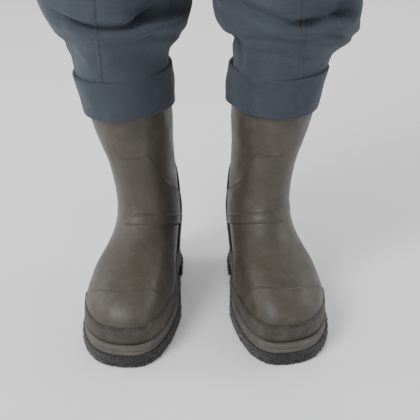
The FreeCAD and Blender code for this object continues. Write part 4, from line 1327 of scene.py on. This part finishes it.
def strap(name, path, across, width, thick, material=None, slot="webbing", seed=0, **rest):
    """Flat webbing along a path in metres, its width lying along across; width and thick in millimetres."""
    path = resampled(np.asarray(path, float), 2.5 * MM)
    across = np.broadcast_to(np.asarray(across, float), path.shape)
    along = np.gradient(path, axis=0)
    along /= np.linalg.norm(along, axis=1, keepdims=True)
    up = np.cross(along, across)
    up /= np.linalg.norm(up, axis=1, keepdims=True)
    s = np.linspace(-1, 1, 13)
    half = thick / 2 * (1 - 0.4 * np.abs(s) ** 8)
    section = np.concatenate([np.stack([s, half], -1), np.stack([s[::-1], -half[::-1]], -1)])
    grid = (path[:, None] + across[:, None] * (section[None, :, :1] * width / 2) * MM
            + up[:, None] * section[None, :, 1:] * MM)
    grid += up[:, None] * (0.12 * MM * wander(grid, 0.03, 70 + seed))[..., None]
    return outward(grid_piece(name, grid, caps=True, material=material or WEBBING, slot=slot, **rest))


def brace_place(points, side):
    """From the brace's upright plane (x across, y through, z up, millimetres) to the row frame."""
    x, y, z = np.moveaxis(np.asarray(points, float), -1, 0)
    c, s = math.cos(BRACE_TURN), math.sin(BRACE_TURN)
    return to_frame(np.stack([side * (BRACE_FOOT[0] + x * c - y * s), BRACE_FOOT[1] + x * s + y * c, z], -1))


def brace_path(plane, side):
    """A path in the brace's plane, given as (y, z) pairs, in the row frame."""
    return brace_place(np.column_stack([np.zeros(len(plane)), plane]), side)


def brace_across(side):
    """The way of a brace's width."""
    return np.array([side * math.cos(BRACE_TURN), math.sin(BRACE_TURN), 0])


def bar_loop(z0, half, thick):
    """Webbing folded round a bar and stitched to itself above, as (y, z) pairs from the buckle."""
    y, flat = 3.2 + thick / 2, thick / 2 + 0.05
    line = [(flat, z0 + 19), (flat, z0 + 15.5), (y, z0 + 9.5), (y, z0 + 1.2), (-y, z0 + 1.2), (-y, z0 + 9.5),
            (-flat, z0 + 15.5), (-flat, z0 + 19)]
    return fillet(line, [3, 3, half, half, 3, 3], 0.8)


def box_stitch(width, low, high, inset=4.0):
    """A sewn box with a cross in it, as runs of (x, z) points."""
    x, z0, z1 = width / 2 - inset, low + inset, high - inset
    box = [(-x, z0), (x, z0), (x, z1), (-x, z1), (-x, z0)]
    return [box, [(-x, z0), (x, z1)], [(x, z0), (-x, z1)]]


# Along a stitch: share of its length, share of its radius, and millimetres that its middle rises.
STITCH_SHAPE = ((0, 0.35, -0.25), (0.15, 0.9, 0.15), (0.5, 1, 0.3), (0.85, 0.9, 0.15), (1, 0.35, -0.25))


def thread(name, runs, outs, body="waders", pitch=3.8, radius=0.42):
    """Stitches along runs of points in metres, each half sunk in the cloth that looks out along outs."""
    turns = np.linspace(0, 2 * math.pi, 6, endpoint=False)
    verts, faces = [], []
    for run, out in zip(runs, outs):
        run = np.asarray(run, float)
        out = np.broadcast_to(np.asarray(out, float), run.shape)
        gaps = np.concatenate([[0], np.cumsum(np.linalg.norm(np.diff(run, axis=0), axis=1))])
        middles = np.arange(pitch * MM / 2, gaps[-1], pitch * MM)
        for m in middles:
            span = [np.array([np.interp(m + d * pitch * MM * 0.40, gaps, run[:, k]) for k in range(3)])
                    for d in (-1, 1)]
            way = (span[1] - span[0]) / max(np.linalg.norm(span[1] - span[0]), 1e-9)
            up = np.array([np.interp(m, gaps, out[:, k]) for k in range(3)])
            up -= way * (up @ way)
            up /= max(np.linalg.norm(up), 1e-9)
            side = np.cross(way, up)
            start = len(verts)
            for share, size, rise in STITCH_SHAPE:
                centre = span[0] + (span[1] - span[0]) * share + up * rise * MM
                verts += [centre + (up * math.sin(t) + side * math.cos(t)) * radius * size * MM
                          for t in turns]
            faces += [(start + r * 6 + c, start + r * 6 + (c + 1) % 6, start + r * 6 + 6 + (c + 1) % 6,
                       start + r * 6 + 6 + c) for r in range(4) for c in range(6)]
            faces += [tuple(range(start + 5, start - 1, -1)), tuple(range(start + 24, start + 30))]
    uvs = np.array([(v[2], v[0]) for v in verts])
    return outward(mesh_piece(name, verts, faces, uvs, THREAD, body, slot="webbing"))


def drop(piece, runs, way):
    """Puts runs of points onto a piece's surface along a way; returns them with the surface's normals."""
    tree = bvh(piece)
    way = Vector(way).normalized()
    landed, outs = [], []
    for run in runs:
        starts = [Vector(p) - way * 0.5 for p in resampled(np.asarray(run, float), 2 * MM)]
        hits = [tree.ray_cast(start, way, 1.5)[:2] for start in starts]
        hits = [h for h in hits if h[0] is not None]
        landed.append([tuple(h[0]) for h in hits])
        outs.append([tuple(h[1] if h[1].dot(way) < 0 else -h[1]) for h in hits])
    return landed, outs


def bvh(piece):
    """A search tree of the piece's faces."""
    mesh = piece.data
    corners = [v.co.copy() for v in mesh.vertices]
    return BVHTree.FromPolygons(corners, [tuple(p.vertices) for p in mesh.polygons])


LADDER = (66.6, 68.6)  # rows of stitches that close a plug's loop, measured from the buckle


def make_brace(name, side):
    """One brace: webbing over the shoulder, the stretch in front, the plug's loop and the tab."""
    across = brace_across(side)
    strap(f"{name}_brace_webbing", brace_path(fillet(BRACE_LINE, BRACE_BENDS), side), across, WEB, WEB_T,
          replaces=(f"{name}_brace",), seed=side)
    z0, z1 = BUCKLE_Z + 70.2, STRETCH_TOP
    slack = strap(f"{name}_brace_front_webbing", brace_path([(0, z) for z in np.linspace(z0, z1, 28)], side),
                  across, WEB, WEB_T, replaces=(f"{name}_brace_stretch",), seed=side + 3)
    slack_blend(slack)
    loop = bar_loop(BUCKLE_Z + 51, 3.4, WEB_T)
    strap(f"{name}_brace_plug_loop", brace_path(loop, side), across, WEB, WEB_T, body=f"{name}_plug",
          replaces=(f"{name}_brace_loop",), seed=side + 6)
    tab = fillet([(5.6, -66), (5.6, -12.8), (-7.4, -12.8), (-7.4, -3.4), (5.4, -3.4)], [1.6, 2.4, 2.4], 0.8)
    strap(f"{name}_brace_tab", brace_path(tab + (0, BUCKLE_Z), side), across, WEB, 2.0,
          replaces=("brace_tabs",), seed=side + 9)
    face = np.cross(across, (0, 0, 1)) * side
    runs = []
    for run in box_stitch(WEB, -66, -30):
        runs.append(brace_place([(x, 4.6, z + BUCKLE_Z) for x, z in run], side))
    thread(f"{name}_tab_stitches", runs, [face] * len(runs))
    runs = [brace_place([(x, -2.55, BUCKLE_Z + z) for x in (-16, 16)], side) for z in LADDER]
    thread(f"{name}_loop_stitches", runs, [face] * len(runs), body=f"{name}_plug", pitch=3.2)


def slack_blend(piece):
    """Frees the stretch of webbing next to a buckle's plug from its body, with its place baked into its mesh.
    """
    piece.parent = None
    del piece["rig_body"]
    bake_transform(piece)


def flat_loop(loop, y):
    """(x, z) pairs as points at a depth."""
    return np.column_stack([loop[:, 0], np.full(len(loop), y), loop[:, 1]])


def row_line(plane, x=0.0):
    """(y, z) pairs in millimetres as points of the row frame."""
    plane = np.asarray(plane, float)
    return to_frame(np.column_stack([np.full(len(plane), x), plane]))


# The yoke from its inner face to its outer one: share of its outline, and depth in millimetres.
YOKE_ROWS = ((0.985, 124.2), (1.0, 124.9), (1.0, 126.9), (0.985, 127.7), (0.93, 127.9), (0.88, 127.3),
             (0.84, 127.9), (0.5, 128.3), (0.02, 128.4))
YOKE_SEWN = 0.88  # share of the outline at which it is sewn


def make_back():
    """The strap up the back, and the yoke in which the braces cross."""
    strap_y = TORSO_Y + WAIST[1] + 1.6 + 2.2
    line = [(129.0, 1292), (129.0, 1262), (strap_y, 1212), (strap_y, 1150)]
    strap("back_strap", row_line(fillet(line, [40, 40])), (1, 0, 0), WEB, WEB_T,
          replaces=("back_brace",), seed=21)
    corners = np.array([(-46, 1338), (46, 1338), (24, 1268), (-24, 1268)], float)
    middle = (corners[0] + corners[1]) / 2
    loop = fillet([middle, *corners[1:], corners[0], middle], [8, 8, 8, 8], 1.5)[:-1]
    centre = np.array([0, 1306.0])
    grid = to_frame(np.stack([flat_loop(centre + (loop - centre) * share, y) for share, y in YOKE_ROWS]))
    outward(grid_piece("shoulder_yoke", grid, caps=True, material=PATCH, slot="patch_fabric",
                       replaces=("brace_yoke",)))
    sewn = centre + (loop - centre) * YOKE_SEWN
    runs = [to_frame(flat_loop(np.vstack([sewn, sewn[:1]]), 127.5))]
    for run in box_stitch(WEB, 1150, 1190):
        runs.append(to_frame(np.array([(x, strap_y + WEB_T / 2, z) for x, z in run])))
    thread("yoke_stitches", runs, [(0, 1, 0)] * len(runs))


# ---------------------------------------------------------------- belt
def waist_y(x, offset):
    """The waist's front, and the same behind, at x: (front y, back y) in millimetres."""
    a, b, n = WAIST[0] + offset, WAIST[1] + offset, WAIST[2]
    rise = b * (1 - (np.abs(x) / a) ** n) ** (1 / n)
    return TORSO_Y - rise, TORSO_Y + rise


def belt_points(plane, z=BELT_Z):
    """(x, y) pairs in millimetres as points of the frame at a height."""
    plane = np.asarray(plane, float)
    return to_frame(np.column_stack([plane, np.full(len(plane), z)]))


def make_belt():
    """Webbing round the waist, the stretch beside the plug, the plug's loop, and the keepers."""
    middle = 1.4 + BELT_T / 2
    t = np.linspace(0, 2 * math.pi, 1441) - math.pi / 2
    c, s = np.cos(t), np.sin(t)
    a, b, n = WAIST[0] + middle, WAIST[1] + middle, WAIST[2]
    x, y = a * np.sign(c) * np.abs(c) ** (2 / n), TORSO_Y + b * np.sign(s) * np.abs(s) ** (2 / n)
    ring = np.stack([x, y], -1)
    ring = ring[~((np.abs(ring[:, 0]) < 90) & (ring[:, 1] < 0))]
    x0, y0 = BUCKLE_AT
    fold = fillet([(x0 + 24, y0 + 2.6), (x0 + 13, y0 + 6.3), (x0 + 3.4, y0 + 6.3), (x0 + 3.4, y0 - 7.3),
                   (x0 + 13, y0 - 7.3), (x0 + 24, y0 - 0.4)], [4, 3, 3, 5], 1.0)
    strap("belt_webbing", belt_points(np.vstack([fold, ring])), (0, 0, 1), BELT, BELT_T,
          replaces=("belt",), seed=31)
    near, far = np.array([-46.2, y0]), np.array([-89.8, waist_y(90.0, middle)[0]])
    steps = np.linspace(0, 1, 20)[:, None]
    stretch = strap("belt_front_webbing", belt_points(near + (far - near) * steps), (0, 0, 1), BELT, BELT_T,
                    replaces=("belt_stretch",), seed=32)
    slack_blend(stretch)
    loop = bar_loop(51, 3.4, BELT_T)
    plane = np.column_stack([x0 - loop[:, 1], y0 - loop[:, 0]])
    strap("belt_plug_loop", belt_points(plane), (0, 0, 1), BELT, BELT_T, body="belt_plug_end",
          replaces=("belt_loop",), seed=33)
    runs = [to_frame(np.array([(x0 - d, y0 - 2.6, BELT_Z + z) for z in (-22, 22)])) for d in LADDER]
    thread("belt_loop_stitches", runs, [(0, -1, 0)] * 2, body="belt_plug_end", pitch=3.2)
    for k, (x, behind) in enumerate(((128, 0), (-128, 0), (105, 1), (-105, 1))):
        make_keeper(k, x, behind)


def make_keeper(k, x, behind):
    """A short upright strap that holds the belt: sewn down above and below it."""
    ys = [waist_y(x + d, 0)[behind] for d in (-2, 0, 2)]
    tangent = np.array([4, ys[2] - ys[0], 0]) / math.hypot(4, ys[2] - ys[0])
    out = np.array([tangent[1], -tangent[0], 0]) * (-1 if behind else 1)
    line = [(1.5, -36), (1.5, -29.5), (5.3, -26.5), (5.6, 0), (5.3, 26.5), (1.5, 29.5), (1.5, 36)]
    steps = resampled(fillet(line, [3, 3, 60, 3, 3], 0.8), 0.8)
    path = np.array([(x, ys[1], BELT_Z)]) + steps[:, :1] * out + steps[:, 1:] * (0, 0, 1)
    strap(f"belt_keeper_{k + 1}", to_frame(path), tangent, 18.0, 1.8, replaces=("belt_keepers",),
          material=SEAM_TAPE, slot="neoprene", seed=40 + k)
    runs = []
    for z in (-33.5, 33.5):
        runs.append(to_frame(np.array([(x, ys[1], BELT_Z + z) + tangent * d + out * 2.5 for d in (-7, 7)])))
    thread(f"belt_keeper_stitches_{k + 1}", runs, [out, out], pitch=3.0)


# ---------------------------------------------------------------- chest pouch, zip and ring
POUCH_HALF, POUCH_LOW, POUCH_HIGH, POUCH_FRONT, POUCH_BACK = 92.0, 1078.0, 1198.0, -140.0, -123.5
ZIP_Z, ZIP_HALF = 1182.0, 74.0


# The pouch from its back to its crown: share of its outline, and share of its depth.
POUCH_ROWS = ((1.0, 0.0), (1.0, 0.35), (0.997, 0.62), (0.985, 0.8), (0.965, 0.9), (0.94, 0.95), (0.90, 0.975),
              (0.84, 0.985), (0.74, 0.99), (0.6, 1), (0.45, 1), (0.3, 1), (0.15, 1), (0.01, 1))


def make_pouch():
    """A soft crowned pocket with rounded corners, its sides gathered in a little below the zip."""
    half, low, high = POUCH_HALF, POUCH_LOW, POUCH_HIGH
    corners = [(half, low), (half, high), (-half, high), (-half, low)]
    loop = fillet([(0, low), *corners, (0, low)], [14, 14, 14, 14], 2.0)
    loop = resampled(loop, 3.0)[:-1]
    centre = np.array([0, (POUCH_LOW + POUCH_HIGH) / 2])
    deep = POUCH_FRONT - POUCH_BACK
    grid = np.stack([flat_loop(centre + (loop - centre) * share, POUCH_BACK + deep * depth)
                     for share, depth in POUCH_ROWS])
    x, z = grid[..., 0], grid[..., 2]
    quiet = smooth((ZIP_Z - 12 - z) / 16)
    middle = smooth((1 - np.abs(x / POUCH_HALF)) / 0.35) * smooth((z - POUCH_LOW) / 30)
    grid[..., 1] -= 3.0 * quiet * middle * hill((z - 1120) / 62)
    pucker = 0.9 * wander(grid * (1, 0, 1), 34.0, 50) * quiet * smooth((POUCH_BACK - 3 - grid[..., 1]) / 6)
    grid[..., 1] -= pucker
    side_pull = 2.2 * quiet * hill((z - 1128) / 60) * smooth((np.abs(x) - 70) / 20)
    grid[..., 0] -= np.sign(x) * side_pull
    piece = grid_piece("soft_chest_pouch", to_frame(grid), caps=True, material=PATCH, slot="patch_fabric",
                       replaces=("chest_pouch",))
    outward(piece)
    ring_piece("pouch_piping", to_frame(flat_loop(loop, POUCH_FRONT + 2.6)), 1.5 * MM, BINDING, "binding")
    sewn = flat_loop(centre + (loop - centre) * 0.93, POUCH_FRONT)
    run = to_frame(np.vstack([sewn, sewn[:1]]))
    runs, outs = drop(piece, [run], (0, 1, 0))
    thread("pouch_stitches", runs, outs)


def ring_piece(name, loop, radius, material, slot, body="waders"):
    """A thin round roll along a closed loop of points that lies in an upright plane."""
    along = np.roll(loop, -1, axis=0) - np.roll(loop, 1, axis=0)
    along /= np.linalg.norm(along, axis=1, keepdims=True)
    forward = np.array([0, 1.0, 0])
    side = np.cross(along, forward)
    turns = np.linspace(0, 2 * math.pi, 10, endpoint=False)
    grid = np.stack([loop + (side * math.cos(t) + forward * math.sin(t)) * radius for t in turns], 1)
    rows, cols, _ = grid.shape
    faces = grid_faces(rows + 1, cols, True) % (rows * cols)
    uvs = grid_uv(grid)
    return outward(mesh_piece(name, grid.reshape(-1, 3), faces.tolist(), uvs, material, body, slot=slot))


def blocks(name, boxes, material, slot, bevel, replaces=()):
    """Small rounded blocks as one piece; each is (low corner, high corner) in millimetres."""
    corners = [(0, 0, 0), (1, 0, 0), (1, 1, 0), (0, 1, 0), (0, 0, 1), (1, 0, 1), (1, 1, 1), (0, 1, 1)]
    sides = [(0, 3, 2, 1), (4, 5, 6, 7), (0, 1, 5, 4), (1, 2, 6, 5), (2, 3, 7, 6), (3, 0, 4, 7)]
    verts, faces = [], []
    for low, high in boxes:
        low, high = np.array(low), np.array(high)
        faces += [tuple(len(verts) + i for i in f) for f in sides]
        verts += [to_frame(low + (high - low) * c) for c in corners]
    uvs = np.array([(v[2], v[0]) for v in verts])
    piece = mesh_piece(name, verts, faces, uvs, material, replaces=replaces, slot=slot)
    return rounded(piece, bevel)


def make_zip():
    """Two tapes, two rows of teeth that mesh, and the stops at their ends."""
    tape = [(ZIP_Z - 9, ZIP_Z - 2.4), (ZIP_Z + 2.4, ZIP_Z + 9)]
    for k, (low, high) in enumerate(tape):
        line = np.array([(x, POUCH_FRONT - 0.45, (low + high) / 2) for x in np.linspace(-78, 78, 60)])
        strap(f"zip_tape_{k + 1}", to_frame(line), (0, 0, 1), high - low, 0.9, material=SEAM_TAPE,
              slot="zip_plastic", seed=60 + k, replaces=("zip",))
        sewn = (low + 1.2) if k == 0 else (high - 1.2)
        run = to_frame(np.array([(x, POUCH_FRONT - 0.9, sewn) for x in (-76, 76)]))
        thread(f"zip_stitches_{k + 1}", [run], [(0, -1, 0)], pitch=3.0, radius=0.34)
    teeth, pitch, y0 = [], 2.6, POUCH_FRONT
    for k in range(int(2 * ZIP_HALF / pitch)):
        x = -ZIP_HALF + pitch * (k + 0.5)
        for row in (0, 1):
            xr = x + row * pitch / 2
            z0, z1 = (ZIP_Z - 2.6, ZIP_Z + 1.0) if row else (ZIP_Z - 1.0, ZIP_Z + 2.6)
            teeth.append(((xr - 0.5, y0 - 2.6, z0), (xr + 0.5, y0 - 0.4, z1)))
    blocks("zip_teeth", teeth, ZIP_PLASTIC, "zip_plastic", 0.22 * MM, replaces=("zip",))
    stops = []
    for x in (-ZIP_HALF - 0.4, ZIP_HALF + 0.4):
        stops.append(((x - 1.2, y0 - 2.8, ZIP_Z - 2.6), (x + 1.2, y0 - 0.3, ZIP_Z + 2.6)))
    blocks("zip_end_stops", stops, ZIP_METAL, "zip_metal", 0.4 * MM)


def make_ring_tab():
    """The webbing that holds the D-ring, folded round its bar."""
    bar = (-131.5, 1243.0)
    arc = [(bar[0] + 3.15 * math.cos(t), bar[1] + 3.15 * math.sin(t)) for t in np.linspace(0.5, -4.2, 26)]
    line = np.array([(-127.0, 1257), (-127.2, 1250)] + arc + [(-129.4, 1250), (-129.2, 1257)])
    strap("d_ring_strap", row_line(line), (1, 0, 0), 20.0, 1.7, replaces=("d_ring_tab",), seed=66)
    runs = [row_line([(-130.1, z), (-130.1, z)], 0.0) for z in (1250.5, 1253.5)]
    runs = [np.array([r[0] + (d * MM, 0, 0) for d in (-7.5, 7.5)]) for r in runs]
    thread("d_ring_stitches", runs, [(0, -1, 0)] * 2, pitch=3.0)


# ---------------------------------------------------------------- carried-over hardware
def finish_hardware():
    """The hard CAD nodes stay as they are, with softened edges and their materials."""
    plastics = [f"{side}_{part}" for side in SIDES for part in
                ("buckle_socket", "buckle_plug", "latch_arm_inner", "latch_arm_outer", "brace_slider")]
    plastics += ["belt_socket", "belt_plug", "belt_latch_lower", "belt_latch_upper"]
    looks = {name: (PLASTIC, 0.5) for name in plastics}
    looks |= {"zip_slider": (ZIP_METAL, 0.25), "zip_pull": (ZIP_METAL, 0.25), "d_ring": (RING_METAL, 0),
              "steel_shanks": (STEEL, 0.3)}
    for name, (material, bevel) in looks.items():
        node = frame["nodes"][name]
        node.data.materials.clear()
        node.data.materials.append(material)
        if bevel:
            rounded(node, bevel * MM)


for side_name, side_sign in SIDES.items():
    make_boot(side_name, side_sign)
    make_midsole(side_name, side_sign)
    make_felt(side_name, side_sign)
    make_insole(side_name, side_sign)
    make_cuff(side_name, side_sign)
    make_brace(side_name, side_sign)
make_garment()
make_back()
make_belt()
make_pouch()
make_zip()
make_ring_tab()
finish_hardware()
make_camera()
make_studio()
